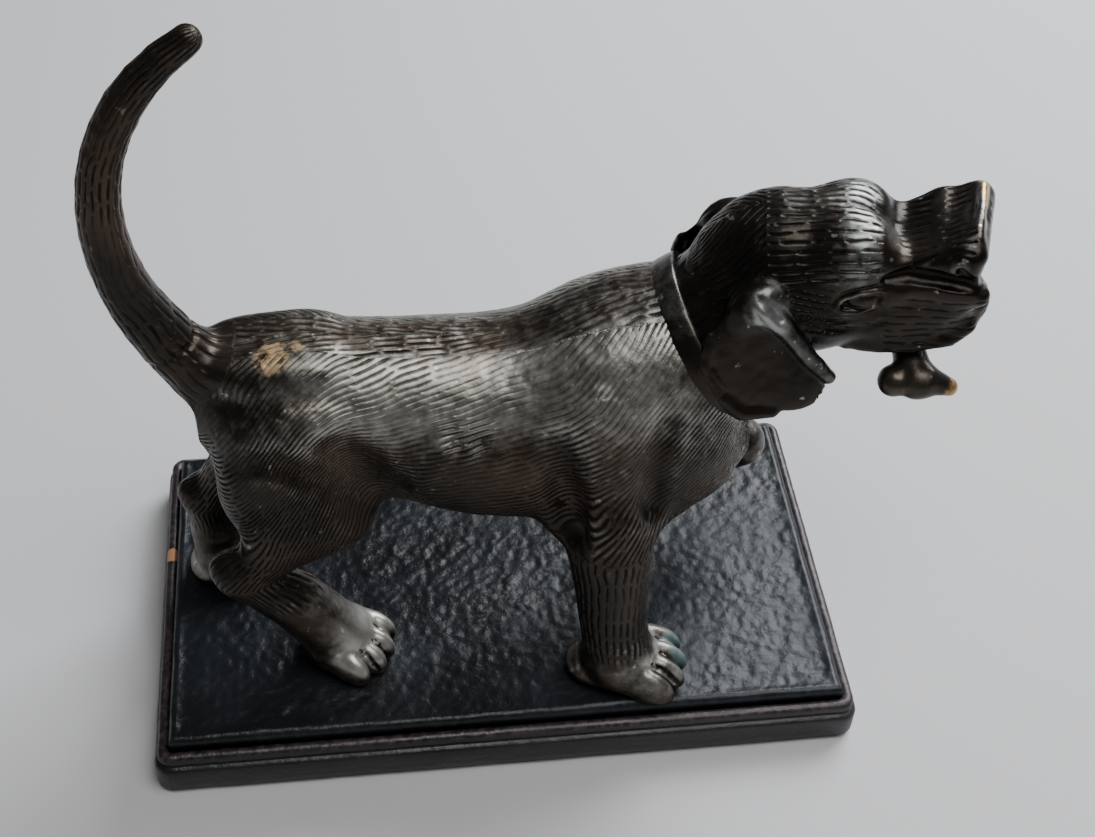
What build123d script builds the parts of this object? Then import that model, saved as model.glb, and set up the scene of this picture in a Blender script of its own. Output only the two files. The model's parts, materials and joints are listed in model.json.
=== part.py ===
"""Cast bronze hound on a moulded base: a desk paperweight at its real size, in millimetres.

The origin is the centre of the underside. +X points the way the dog faces, +Y to the side of its
raised foreleg and +Z up. Places on the dog are given in its own terms: how far along the base, how
far from its middle plane, and how high above the ground that it stands on.
"""

import os
from math import cos, radians, sin

from build123d import *

os.makedirs("parts", exist_ok=True)

# Base
BASE_LENGTH = 120.0
BASE_WIDTH = 70.0
BASE_HEIGHT = 8.8
BASE_CORNER = 3.2
BEAD_HEIGHT = 2.6
BEAD_INSET = 0.7
BEAD_ROUND = 1.1
FOOT_ROUND = 0.8
FELT_THICKNESS = 1.0
FELT_RECESS = 0.5
FELT_MARGIN = 3.0
GROUND_MARGIN = 3.0
GROUND_THICKNESS = 3.8
GROUND_REBATE = 1.5
GROUND_CORNER = 1.6
GROUND_EDGE = 0.5
FIT_GAP = 0.1

# Fixings
FOOT_SCREW_RADIUS = 1.5
FOOT_SCREW_HEAD_RADIUS = 2.8
FOOT_SCREW_HEAD_HEIGHT = 1.8
FOOT_SCREW_BITE = 4.5
WASHER_RADIUS = 3.5
WASHER_THICKNESS = 0.6
SCREW_POCKET_DEPTH = 3.4
PLATE_SCREW_RADIUS = 1.2
PLATE_SCREW_HEAD_RADIUS = 2.3
PLATE_SCREW_INSET = 7.5
PLATE_SCREW_BITE = 2.4
DRIVE_SLOT_WIDTH = 0.6
DRIVE_SLOT_DEPTH = 0.6
DOWEL_RADIUS = 1.5
DOWEL_LENGTH = 9.0
EAR_PIN_RADIUS = 0.7
EAR_PIN_LENGTH = 5.0
TAIL_PIN_RADIUS = 1.3
TAIL_PIN_LENGTH = 12.0
TAIL_PIN_LEAN = 38.5
NECK_STUD_RADIUS = 2.5
NECK_STUD_LENGTH = 18.0

# Dog: middle plane, trunk and neck
MIDDLE_Y = -6.0
SPINE_HEIGHT = 48.0
NECK_X = 31.0
NECK_RISE = 12.4
NECK_PITCH = 30.0
NECK_RADIUS = 12.4
NECK_FLARE = 3.0
NECK_FLARE_DEPTH = 14.0
NECK_SWELL = 0.6
NECK_SWELL_DEPTH = 5.0
NECK_INNER_END_RADIUS = 10.2
COLLAR_WIDTH = 4.6
COLLAR_THICKNESS = 1.3

# Head, in its own frame: forward, left and up from the middle of the skull
SKULL_X = 46.0
SKULL_RISE = 27.0
HEAD_TURN = 12.0
HEAD_PITCH = 8.0
MOUTH_HALF_WIDTH = 4.0
MOUTH_ROOF = -7.5
MOUTH_DEPTH = 17.6
JAW_CLEARANCE = 0.3
BONE_RADIUS = 1.9
BONE_LOBE_RADIUS = 2.5

# Tail
TAIL_RADIUS = 34.0
TAIL_ROOT_DRAW = 3.6
TAIL_ROOT_HALF_THICKNESS = 5.4
TAIL_HALF_THICKNESS = 3.1
TAIL_TIP_HALF_THICKNESS = 2.3

# A limb's end ball, as a share of its end section, kept just inside it
END_BALL_SHARE = 0.96

GROUND_LENGTH = BASE_LENGTH - 2 * GROUND_MARGIN
GROUND_WIDTH = BASE_WIDTH - 2 * GROUND_MARGIN
PLATE_SCREW_SPACING = (GROUND_LENGTH - 2 * PLATE_SCREW_INSET, GROUND_WIDTH - 2 * PLATE_SCREW_INSET)
PLINTH_BOTTOM = FELT_THICKNESS - FELT_RECESS
GROUND_BOTTOM = BASE_HEIGHT - GROUND_REBATE
GROUND_TOP = GROUND_BOTTOM + GROUND_THICKNESS


def place(x, off_middle, height):
    """A point on the dog: along the base, off its middle plane, and above the ground."""
    return Vector(x, MIDDLE_Y + off_middle, GROUND_TOP + height)


def ellipsoid(centre, half_sizes, pitch=0.0, turn=0.0):
    """A solid ellipsoid with its first axis pitched up and turned to the left by the angles given."""
    ball = scale(Sphere(1.0, mode=Mode.PRIVATE), by=half_sizes, mode=Mode.PRIVATE)
    return Location(centre) * Rot(0, 0, turn) * Rot(0, -pitch, 0) * ball


def limb(stations):
    """A limb through (point, half width, half depth) stations, rounded at both ends."""
    points = [station[0] for station in stations]
    with BuildPart() as shape:
        for index, (point, half_width, half_depth) in enumerate(stations):
            before = points[max(index - 1, 0)]
            after = points[min(index + 1, len(points) - 1)]
            with BuildSketch(Plane(origin=point, x_dir=(0, 1, 0), z_dir=after - before)):
                Ellipse(half_width, half_depth)
        loft()
        for point, half_width, half_depth in (stations[0], stations[-1]):
            with Locations(point):
                Sphere(END_BALL_SHARE * min(half_width, half_depth))
    return shape.part


def paw(heel, toe_y_offsets, toe_x, size, spread):
    """A paw: a rounded heel block and four toes, cut flat where it stands."""
    half_length, half_width, half_height = size
    with BuildPart() as shape:
        add(ellipsoid(heel, (half_length, half_width, half_height)))
        for offset in toe_y_offsets:
            reach = toe_x - abs(offset) * spread
            toe = Vector(heel.X + reach, heel.Y + offset, heel.Z - half_height * 0.25)
            add(ellipsoid(toe, (half_length * 0.55, half_width * 0.31, half_height * 0.72)))
    return shape.part


# Places that several pieces share
TRUNK = [
    # along the base, rise above the spine height, half width, half height
    (-47.5, 3.5, 3.5, 4.5),
    (-45.0, 3.5, 7.5, 8.5),
    (-38.0, 2.8, 11.0, 12.8),
    (-29.0, 2.2, 12.3, 14.8),
    (-18.0, 0.7, 12.8, 15.6),
    (-8.0, -1.6, 14.0, 17.4),
    (3.0, -2.4, 15.0, 18.6),
    (14.0, -0.3, 16.2, 21.4),
    (24.0, -0.2, 16.6, 21.6),
    (32.0, -1.5, 14.5, 17.6),
    (38.0, -3.0, 9.5, 10.5),
    (41.0, -3.5, 4.0, 5.0),
]
NECK_CENTRE = place(NECK_X, 0, SPINE_HEIGHT + NECK_RISE)
NECK_AXIS = Vector(cos(radians(NECK_PITCH)), 0, sin(radians(NECK_PITCH)))
NECK_PLANE = Plane(origin=NECK_CENTRE, x_dir=(0, 1, 0), z_dir=NECK_AXIS)
SKULL_CENTRE = place(SKULL_X, 0, SPINE_HEIGHT + SKULL_RISE)
HEAD_LOCATION = Location(SKULL_CENTRE) * Rot(0, 0, -HEAD_TURN) * Rot(0, -HEAD_PITCH, 0)
HEAD_FRAME = Plane(HEAD_LOCATION)


def on_head(forward, left, up):
    """A point given in the head's own frame."""
    return HEAD_FRAME.from_local_coords(Vector(forward, left, up))


def across_head(forward, up):
    """The plane across the head at a distance forward of the skull's centre."""
    return Plane(origin=on_head(forward, 0, up), x_dir=HEAD_FRAME.y_dir, z_dir=HEAD_FRAME.x_dir)


TAIL_ROOT = place(-44.0, 0, SPINE_HEIGHT + 9.0)
TAIL_START = place(-46.0, 0, SPINE_HEIGHT + 12.6)
TAIL_START_ANGLE = 229.0
TAIL_END_ANGLE = 124.0
TAIL_STATIONS = 8
TAIL_OUTWARD = Vector(cos(radians(TAIL_START_ANGLE)), 0, sin(radians(TAIL_START_ANGLE)))
TAIL_HUB = TAIL_START - TAIL_OUTWARD * (TAIL_RADIUS + TAIL_ROOT_DRAW)

NEAR_FORE_FOOT = place(20.5, -19.3, 0)
NEAR_HIND_FOOT = place(-26.8, -10.6, 0)
FAR_HIND_FOOT = place(-46.0, 11.0, 0)
FEET = [NEAR_FORE_FOOT, NEAR_HIND_FOOT, FAR_HIND_FOOT]

NEAR_FORE_JOINT = place(17.0, -13.0, SPINE_HEIGHT - 8)
RAISED_JOINT = place(24.0, 11.5, SPINE_HEIGHT - 10)
NEAR_HIND_JOINT = place(-35.0, -9.5, SPINE_HEIGHT)
FAR_HIND_JOINT = place(-38.0, 8.5, SPINE_HEIGHT)
LEG_JOINTS = [NEAR_FORE_JOINT, RAISED_JOINT, NEAR_HIND_JOINT, FAR_HIND_JOINT]
NEAR_EAR_ROOT = on_head(-7.0, -10.5, 1.0)
FAR_EAR_ROOT = on_head(-10.5, 9.8, -3.5)

HEAD_SECTIONS = [
    # forward of the skull centre, middle above it, half width, half height, corner radius
    (-15.5, 0.5, 3.2, 3.4, 2.6),
    (-13.5, 0.2, 7.0, 7.4, 6.0),
    (-8.0, -0.5, 10.5, 10.8, 9.4),
    (0.0, -1.0, 11.3, 12.2, 10.4),
    (7.0, -1.0, 10.3, 12.8, 8.5),
    (12.0, -3.7, 8.2, 9.1, 4.6),
    (18.5, -4.0, 7.8, 8.9, 4.2),
    (24.0, -2.1, 9.2, 9.4, 4.2),
    (26.8, 1.4, 8.6, 6.0, 4.2),
]
BONE_NEAR_END = on_head(16.2, -8.9, -17.2)
BONE_FAR_END = on_head(11.3, 11.5, -7.2)
BONE_LOBE_SPREAD = 3.1
JAW_FRONT = 21.0
JAW_BACK = 1.0
JAW_MIDDLE = -14.2
JAW_HALF_HEIGHT = 1.4
EAR_THICKNESS = 2.4
EAR_FLARE = 13.0
EAR_OUTLINE = [
    # forward of the root, above the root, round the hanging flap
    (-4.0, 2.0),
    (2.0, 1.6),
    (6.0, -5.0),
    (11.0, -12.0),
    (8.5, -16.0),
    (3.0, -20.0),
    (-2.0, -19.5),
    (-6.5, -14.5),
    (-8.5, -8.0),
    (-7.8, -2.0),
]

# Moulded base: a straight side, then a narrower bead with a rounded top edge
with BuildPart() as plinth:
    with BuildSketch(Plane.XY.offset(PLINTH_BOTTOM)):
        RectangleRounded(BASE_LENGTH, BASE_WIDTH, BASE_CORNER)
    extrude(amount=BASE_HEIGHT - BEAD_HEIGHT - PLINTH_BOTTOM)
    fillet(plinth.faces().sort_by(Axis.Z)[-1].edges(), FOOT_ROUND)
    with BuildSketch(Plane.XY.offset(BASE_HEIGHT - BEAD_HEIGHT)):
        RectangleRounded(BASE_LENGTH - 2 * BEAD_INSET, BASE_WIDTH - 2 * BEAD_INSET, BASE_CORNER - BEAD_INSET)
    extrude(amount=BEAD_HEIGHT)
    fillet(plinth.faces().sort_by(Axis.Z)[-1].edges(), BEAD_ROUND)
    with BuildSketch(Plane.XY.offset(GROUND_BOTTOM)):
        RectangleRounded(GROUND_LENGTH + 2 * FIT_GAP, GROUND_WIDTH + 2 * FIT_GAP, GROUND_CORNER + FIT_GAP)
    extrude(amount=GROUND_REBATE, mode=Mode.SUBTRACT)
    with BuildSketch(Plane.XY.offset(PLINTH_BOTTOM)):
        RectangleRounded(BASE_LENGTH - 2 * FELT_MARGIN, BASE_WIDTH - 2 * FELT_MARGIN, BASE_CORNER)
    extrude(amount=FELT_RECESS, mode=Mode.SUBTRACT)
    for foot in FEET:
        with BuildSketch(Plane.XY.offset(FELT_THICKNESS)):
            with Locations((foot.X, foot.Y)):
                Circle(WASHER_RADIUS + FIT_GAP)
        extrude(amount=SCREW_POCKET_DEPTH, mode=Mode.SUBTRACT)
        with BuildSketch(Plane.XY.offset(FELT_THICKNESS)):
            with Locations((foot.X, foot.Y)):
                Circle(FOOT_SCREW_RADIUS + FIT_GAP)
        extrude(amount=BASE_HEIGHT, mode=Mode.SUBTRACT)
    with Locations(Plane(origin=(0, 0, FELT_THICKNESS), z_dir=(0, 0, -1))):
        with GridLocations(*PLATE_SCREW_SPACING, 2, 2):
            CounterSinkHole(PLATE_SCREW_RADIUS + FIT_GAP, PLATE_SCREW_HEAD_RADIUS + FIT_GAP)

plinth.part.label = "plinth"
export_step(plinth.part, "parts/plinth.step")

# Felt under the base
with BuildPart() as felt_pad:
    with BuildSketch():
        RectangleRounded(
            BASE_LENGTH - 2 * FELT_MARGIN - 2 * FIT_GAP,
            BASE_WIDTH - 2 * FELT_MARGIN - 2 * FIT_GAP,
            BASE_CORNER - FIT_GAP,
        )
    extrude(amount=FELT_THICKNESS)

felt_pad.part.label = "felt_pad"
export_step(felt_pad.part, "parts/felt_pad.step")

# Screws that hold the feet, with a washer under each head, and a drive slot across each head
SCREW_SEAT = FELT_THICKNESS + SCREW_POCKET_DEPTH - WASHER_THICKNESS
with BuildPart() as foot_screws:
    for foot in FEET:
        with BuildSketch(Plane.XY.offset(SCREW_SEAT - FOOT_SCREW_HEAD_HEIGHT)):
            with Locations((foot.X, foot.Y)):
                Circle(FOOT_SCREW_HEAD_RADIUS)
        extrude(amount=FOOT_SCREW_HEAD_HEIGHT)
        with BuildSketch(Plane.XY.offset(SCREW_SEAT)):
            with Locations((foot.X, foot.Y)):
                Circle(FOOT_SCREW_RADIUS)
        extrude(amount=GROUND_TOP + FOOT_SCREW_BITE - SCREW_SEAT)
        with BuildSketch(Plane.XY.offset(SCREW_SEAT - FOOT_SCREW_HEAD_HEIGHT)):
            with Locations((foot.X, foot.Y)):
                Rectangle(2 * FOOT_SCREW_HEAD_RADIUS, DRIVE_SLOT_WIDTH)
        extrude(amount=DRIVE_SLOT_DEPTH, mode=Mode.SUBTRACT)

foot_screws.part.label = "foot_screws"
export_step(foot_screws.part, "parts/foot_screws.step")

with BuildPart() as foot_washers:
    for foot in FEET:
        with BuildSketch(Plane.XY.offset(SCREW_SEAT)):
            with Locations((foot.X, foot.Y)):
                Circle(WASHER_RADIUS)
                Circle(FOOT_SCREW_RADIUS + FIT_GAP, mode=Mode.SUBTRACT)
        extrude(amount=WASHER_THICKNESS)

foot_washers.part.label = "foot_washers"
export_step(foot_washers.part, "parts/foot_washers.step")

# Countersunk screws between the plinth and the ground plate
PLATE_SCREW_TOP = GROUND_BOTTOM + PLATE_SCREW_BITE
PLATE_SCREW_TAPER = PLATE_SCREW_HEAD_RADIUS - PLATE_SCREW_RADIUS
with BuildPart() as plate_screws:
    with BuildSketch(Plane.XY.offset(FELT_THICKNESS)):
        with GridLocations(*PLATE_SCREW_SPACING, 2, 2):
            Circle(PLATE_SCREW_RADIUS)
    extrude(amount=PLATE_SCREW_TOP - FELT_THICKNESS)
    with Locations((0, 0, FELT_THICKNESS + PLATE_SCREW_TAPER / 2)):
        with GridLocations(*PLATE_SCREW_SPACING, 2, 2):
            Cone(PLATE_SCREW_HEAD_RADIUS, PLATE_SCREW_RADIUS, PLATE_SCREW_TAPER)

plate_screws.part.label = "plate_screws"
export_step(plate_screws.part, "parts/plate_screws.step")

# Ground plate that the dog stands on
with BuildPart() as ground_plate:
    with BuildSketch(Plane.XY.offset(GROUND_BOTTOM)):
        RectangleRounded(GROUND_LENGTH, GROUND_WIDTH, GROUND_CORNER)
    extrude(amount=GROUND_THICKNESS)
    fillet(ground_plate.faces().sort_by(Axis.Z)[-1].edges(), GROUND_EDGE)
    for foot in FEET:
        with Locations((foot.X, foot.Y, GROUND_TOP)):
            Hole(FOOT_SCREW_RADIUS + FIT_GAP)
    add(plate_screws.part, mode=Mode.SUBTRACT)

ground_plate.part.label = "ground_plate"
export_step(ground_plate.part, "parts/ground_plate.step")

# Pins and studs inside the castings
with BuildPart() as leg_dowels:
    for joint in LEG_JOINTS:
        with Locations(Location(joint, (90, 0, 0))):
            Cylinder(DOWEL_RADIUS, DOWEL_LENGTH)

leg_dowels.part.label = "leg_dowels"
export_step(leg_dowels.part, "parts/leg_dowels.step")

with BuildPart() as ear_pins:
    for root in (NEAR_EAR_ROOT, FAR_EAR_ROOT):
        with Locations(Location(root, (90, 0, -HEAD_TURN))):
            Cylinder(EAR_PIN_RADIUS, EAR_PIN_LENGTH)

ear_pins.part.label = "ear_pins"
export_step(ear_pins.part, "parts/ear_pins.step")

with BuildPart() as tail_pin:
    lean = radians(TAIL_PIN_LEAN)
    with Locations(Plane(origin=TAIL_ROOT, x_dir=(0, 1, 0), z_dir=(-sin(lean), 0, cos(lean)))):
        Cylinder(TAIL_PIN_RADIUS, TAIL_PIN_LENGTH)

tail_pin.part.label = "tail_pin"
export_step(tail_pin.part, "parts/tail_pin.step")

with BuildPart() as neck_stud:
    with Locations(NECK_PLANE):
        Cylinder(NECK_STUD_RADIUS, NECK_STUD_LENGTH)

neck_stud.part.label = "neck_stud"
export_step(neck_stud.part, "parts/neck_stud.step")

# Body casting: the trunk and a neck stub that ends square at the collar
with BuildPart() as torso:
    for along, rise, half_width, half_height in TRUNK:
        centre = place(along, 0, SPINE_HEIGHT + rise)
        with BuildSketch(Plane(origin=centre, x_dir=(0, 1, 0), z_dir=(1, 0, 0))):
            Ellipse(half_width, half_height)
    loft()
    with BuildSketch(NECK_PLANE.offset(-NECK_FLARE_DEPTH)):
        Circle(NECK_RADIUS + NECK_FLARE)
    with BuildSketch(NECK_PLANE.offset(-NECK_SWELL_DEPTH)):
        Circle(NECK_RADIUS + NECK_SWELL)
    with BuildSketch(NECK_PLANE):
        Circle(NECK_RADIUS)
    loft()
    split(bisect_by=NECK_PLANE, keep=Keep.BOTTOM)
    for pins in (leg_dowels, tail_pin, neck_stud):
        add(pins.part, mode=Mode.SUBTRACT)

torso.part.label = "torso"
export_step(torso.part, "parts/torso.step")

# Standing foreleg: shoulder, upper arm, straight forearm and a broad paw
with BuildPart() as near_foreleg:
    add(ellipsoid(place(18.5, -11.8, SPINE_HEIGHT - 6), (9.5, 7.0, 15.0)))
    add(
        limb(
            [
                (place(17.0, -13.5, SPINE_HEIGHT * 0.76), 6.4, 8.0),
                (place(17.0, -15.5, SPINE_HEIGHT * 0.60), 6.2, 7.0),
                (place(17.2, -17.4, SPINE_HEIGHT * 0.42), 5.3, 5.4),
                (place(17.6, -18.4, SPINE_HEIGHT * 0.26), 5.1, 5.2),
                (place(18.8, -19.0, SPINE_HEIGHT * 0.13), 5.4, 5.6),
            ]
        )
    )
    add(paw(NEAR_FORE_FOOT + Vector(0, 0, 4.2), (-4.6, -1.6, 1.7, 4.7), 6.6, (8.6, 6.2, 5.6), 0.25))
    split(bisect_by=Plane.XY.offset(GROUND_TOP), keep=Keep.TOP)
    for other in (torso, leg_dowels, foot_screws):
        add(other.part, mode=Mode.SUBTRACT)

near_foreleg.part.label = "near_foreleg"
export_step(near_foreleg.part, "parts/near_foreleg.step")

# Raised foreleg: the forearm reaches forward and the paw hangs back from the wrist
with BuildPart() as raised_foreleg:
    add(ellipsoid(place(22.0, 11.5, SPINE_HEIGHT - 6), (9.5, 6.5, 14.0)))
    elbow = place(24.0, 12.5, SPINE_HEIGHT - 16.0)
    forearm = place(35.0, 13.2, SPINE_HEIGHT - 21.5)
    wrist = place(45.5, 13.5, SPINE_HEIGHT - 26.5)
    pastern = place(42.5, 13.8, SPINE_HEIGHT - 32.5)
    toes = place(39.0, 14.0, SPINE_HEIGHT - 37.0)
    add(limb([(elbow, 5.8, 6.5), (forearm, 4.8, 5.2), (wrist, 4.2, 4.4)]))
    add(limb([(wrist, 3.8, 4.0), (pastern, 3.9, 3.8), (toes, 3.6, 3.2)]))
    for other in (torso, leg_dowels):
        add(other.part, mode=Mode.SUBTRACT)

raised_foreleg.part.label = "raised_foreleg"
export_step(raised_foreleg.part, "parts/raised_foreleg.step")

# Hind legs: thigh, lower leg back to the hock, then the metatarsus forward to the paw
with BuildPart() as near_hind_leg:
    add(ellipsoid(place(-33.5, -8.5, SPINE_HEIGHT - 4), (12.0, 7.5, 15.5)))
    hock = place(-42.5, -11.0, 23.5)
    knee = place(-29.0, -9.5, SPINE_HEIGHT - 11.0)
    shin = place(-37.0, -10.5, SPINE_HEIGHT - 19.0)
    add(limb([(knee, 6.0, 8.5), (shin, 5.2, 6.8), (hock, 4.4, 4.8)]))
    shank = place(-34.5, -11.0, 15.8)
    instep = place(-28.8, -10.8, 8.8)
    add(limb([(hock, 3.9, 4.1), (shank, 3.9, 3.9), (instep, 4.6, 4.4)]))
    add(paw(NEAR_HIND_FOOT + Vector(0, 0, 4.0), (-4.1, -1.4, 1.4, 4.1), 4.6, (6.2, 5.6, 4.8), 0.25))
    split(bisect_by=Plane.XY.offset(GROUND_TOP), keep=Keep.TOP)
    for other in (torso, leg_dowels, foot_screws):
        add(other.part, mode=Mode.SUBTRACT)

near_hind_leg.part.label = "near_hind_leg"
export_step(near_hind_leg.part, "parts/near_hind_leg.step")

with BuildPart() as far_hind_leg:
    add(ellipsoid(place(-37.0, 8.0, SPINE_HEIGHT - 4), (10.5, 6.5, 15.5)))
    hock = place(-49.0, 11.0, 18.0)
    knee = place(-37.0, 9.5, SPINE_HEIGHT - 11.0)
    shin = place(-43.5, 10.5, SPINE_HEIGHT - 21.0)
    add(limb([(knee, 5.6, 8.0), (shin, 4.8, 6.2), (hock, 4.3, 4.6)]))
    add(limb([(hock, 3.8, 4.0), (place(-48.0, 11.0, 11.0), 3.8, 3.8), (place(-47.0, 11.0, 5.0), 4.6, 4.6)]))
    add(paw(FAR_HIND_FOOT + Vector(0, 0, 4.0), (-4.1, -1.4, 1.4, 4.1), 4.6, (6.2, 5.6, 4.8), 0.25))
    split(bisect_by=Plane.XY.offset(GROUND_TOP), keep=Keep.TOP)
    for other in (torso, leg_dowels, foot_screws):
        add(other.part, mode=Mode.SUBTRACT)

far_hind_leg.part.label = "far_hind_leg"
export_step(far_hind_leg.part, "parts/far_hind_leg.step")

# Tail: a tapered sickle from the rump, up and over to a blunt tip
with BuildPart() as tail:
    stations = []
    for index in range(TAIL_STATIONS):
        share = index / (TAIL_STATIONS - 1)
        angle = radians(TAIL_START_ANGLE + share * (TAIL_END_ANGLE - TAIL_START_ANGLE))
        reach = TAIL_RADIUS + TAIL_ROOT_DRAW * (1 - share) ** 4
        half = TAIL_HALF_THICKNESS
        half += (TAIL_ROOT_HALF_THICKNESS - TAIL_HALF_THICKNESS) * (1 - share) ** 3
        half += (TAIL_TIP_HALF_THICKNESS - TAIL_HALF_THICKNESS) * share**6
        stations.append((TAIL_HUB + Vector(reach * cos(angle), 0, reach * sin(angle)), half, half))
    add(limb(stations))
    for other in (torso, tail_pin, near_hind_leg, far_hind_leg):
        add(other.part, mode=Mode.SUBTRACT)

tail.part.label = "tail"
export_step(tail.part, "parts/tail.step")

# Bone held across the mouth, with two lobes at each end
with BuildPart() as bone:
    shaft = Plane(origin=BONE_NEAR_END, x_dir=HEAD_FRAME.x_dir, z_dir=BONE_FAR_END - BONE_NEAR_END)
    with BuildSketch(shaft):
        Circle(BONE_RADIUS)
    extrude(amount=(BONE_FAR_END - BONE_NEAR_END).length)
    for end in (BONE_NEAR_END, BONE_FAR_END):
        for side in (-1, 1):
            with Locations(end + HEAD_FRAME.x_dir * (side * BONE_LOBE_SPREAD)):
                Sphere(BONE_LOBE_RADIUS)

bone.part.label = "bone"
export_step(bone.part, "parts/bone.step")

# Head casting: neck, skull and muzzle, with the mouth open below between the lips
with BuildPart() as head:
    for forward, middle, half_width, half_height, corner in HEAD_SECTIONS:
        with BuildSketch(across_head(forward, middle)):
            RectangleRounded(2 * half_width, 2 * half_height, corner)
    loft()
    with BuildSketch(NECK_PLANE):
        Circle(NECK_RADIUS)
    with BuildSketch(NECK_PLANE.offset(5)):
        Circle(NECK_RADIUS - 0.4)
    with BuildSketch(across_head(-4.0, -1.0)):
        Circle(NECK_INNER_END_RADIUS)
    loft()
    split(bisect_by=NECK_PLANE, keep=Keep.TOP)
    mouth_length = JAW_FRONT - JAW_BACK + JAW_CLEARANCE
    with BuildSketch(across_head(JAW_BACK, MOUTH_ROOF)):
        with Locations((0, -MOUTH_DEPTH / 2)):
            Rectangle(2 * MOUTH_HALF_WIDTH, MOUTH_DEPTH)
    extrude(amount=mouth_length, mode=Mode.SUBTRACT)
    for other in (bone, neck_stud, ear_pins):
        add(other.part, mode=Mode.SUBTRACT)

head.part.label = "head"
export_step(head.part, "parts/head.step")

with BuildPart() as lower_jaw:
    for forward, share in ((JAW_BACK, 1.0), (JAW_FRONT - 8, 0.9), (JAW_FRONT, 0.55)):
        with BuildSketch(across_head(forward, JAW_MIDDLE)):
            Ellipse((MOUTH_HALF_WIDTH - JAW_CLEARANCE) * share, JAW_HALF_HEIGHT * share)
    loft()
    add(bone.part, mode=Mode.SUBTRACT)

lower_jaw.part.label = "lower_jaw"
export_step(lower_jaw.part, "parts/lower_jaw.step")

# Collar over the joint between head and body
with BuildPart() as collar:
    with BuildSketch(NECK_PLANE.offset(-COLLAR_WIDTH / 2)):
        Circle(NECK_RADIUS + COLLAR_THICKNESS)
        Circle(NECK_RADIUS, mode=Mode.SUBTRACT)
    extrude(amount=COLLAR_WIDTH)
    for other in (torso, head):
        add(other.part, mode=Mode.SUBTRACT)

collar.part.label = "collar"
export_step(collar.part, "parts/collar.step")

# Ears: hanging flaps that flare away from the neck
with BuildPart() as near_ear:
    flare = radians(EAR_FLARE)
    with BuildSketch(Plane(origin=NEAR_EAR_ROOT, x_dir=(1, 0, 0), z_dir=(0, -cos(flare), sin(flare)))):
        with BuildLine():
            Spline(EAR_OUTLINE, periodic=True)
        make_face()
    extrude(amount=EAR_THICKNESS)
    for other in (head, collar, torso, ear_pins):
        add(other.part, mode=Mode.SUBTRACT)

near_ear.part.label = "near_ear"
export_step(near_ear.part, "parts/near_ear.step")

with BuildPart() as far_ear:
    with BuildSketch(Plane(origin=FAR_EAR_ROOT, x_dir=(-1, 0, 0), z_dir=(0, cos(flare), sin(flare)))):
        with BuildLine():
            Spline([(-forward, up) for forward, up in EAR_OUTLINE], periodic=True)
        make_face()
    extrude(amount=EAR_THICKNESS)
    for other in (head, collar, torso, ear_pins):
        add(other.part, mode=Mode.SUBTRACT)

far_ear.part.label = "far_ear"
export_step(far_ear.part, "parts/far_ear.step")
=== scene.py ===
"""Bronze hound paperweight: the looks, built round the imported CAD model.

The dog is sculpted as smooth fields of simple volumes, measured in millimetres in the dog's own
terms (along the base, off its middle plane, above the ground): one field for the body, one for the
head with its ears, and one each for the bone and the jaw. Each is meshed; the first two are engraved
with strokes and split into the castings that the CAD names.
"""

import json
import math

import bpy
import numpy as np
from mathutils import Matrix, Vector
from mathutils.bvhtree import BVHTree


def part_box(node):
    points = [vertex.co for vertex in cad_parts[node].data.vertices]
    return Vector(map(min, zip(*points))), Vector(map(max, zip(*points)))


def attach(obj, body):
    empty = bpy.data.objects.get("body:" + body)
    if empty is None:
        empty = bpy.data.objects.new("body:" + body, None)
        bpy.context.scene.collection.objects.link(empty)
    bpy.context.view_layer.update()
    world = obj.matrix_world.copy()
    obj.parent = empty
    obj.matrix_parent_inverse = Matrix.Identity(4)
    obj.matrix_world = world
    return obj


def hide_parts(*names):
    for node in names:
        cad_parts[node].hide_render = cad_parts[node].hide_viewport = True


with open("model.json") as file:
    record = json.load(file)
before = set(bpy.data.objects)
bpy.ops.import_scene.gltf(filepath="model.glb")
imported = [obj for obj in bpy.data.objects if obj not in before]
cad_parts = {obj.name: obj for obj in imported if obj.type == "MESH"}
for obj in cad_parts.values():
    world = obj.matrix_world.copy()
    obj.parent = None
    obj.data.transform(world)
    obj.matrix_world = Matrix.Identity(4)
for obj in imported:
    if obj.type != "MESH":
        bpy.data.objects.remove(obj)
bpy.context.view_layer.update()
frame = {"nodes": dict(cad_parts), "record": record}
MM = 1000.0  # millimetres in the scene's metre


# ---------------------------------------------------------------- places, in millimetres
def node_box(node):
    low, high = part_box(node)
    return np.array(low) * MM, np.array(high) * MM


PLINTH_LOW, PLINTH_HIGH = node_box("plinth")
PLATE_LOW, PLATE_HIGH = node_box("ground_plate")
TORSO_LOW, TORSO_HIGH = node_box("torso")
BASE_X = (PLINTH_LOW[0] + PLINTH_HIGH[0]) / 2
MIDDLE_Y = (TORSO_LOW[1] + TORSO_HIGH[1]) / 2
GROUND_Z = PLATE_HIGH[2]
SPINE = 48.0
FORWARD = np.array([1.0, 0.0, 0.0])
SIDES = (-1, 1)
TOES = (-1.5, -0.5, 0.5, 1.5)


def place(along, off_middle, height):
    return np.array([BASE_X + along, MIDDLE_Y + off_middle, GROUND_Z + height])


def body_line(stations, side=1):
    """Stations (along, off the middle, height, radius), mirrored where side is -1, as points and radii."""
    return [(place(x, side * y, z), r) for x, y, z, r in stations]


def turned(pitch, turn):
    """Columns: forward, left and up, after pitching the front up and turning it left (degrees)."""
    p, t = math.radians(pitch), math.radians(turn)
    forward = np.array([math.cos(p) * math.cos(t), math.cos(p) * math.sin(t), math.sin(p)])
    left = np.array([-math.sin(t), math.cos(t), 0.0])
    return np.stack([forward, left, np.cross(forward, left)], axis=1)


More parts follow.
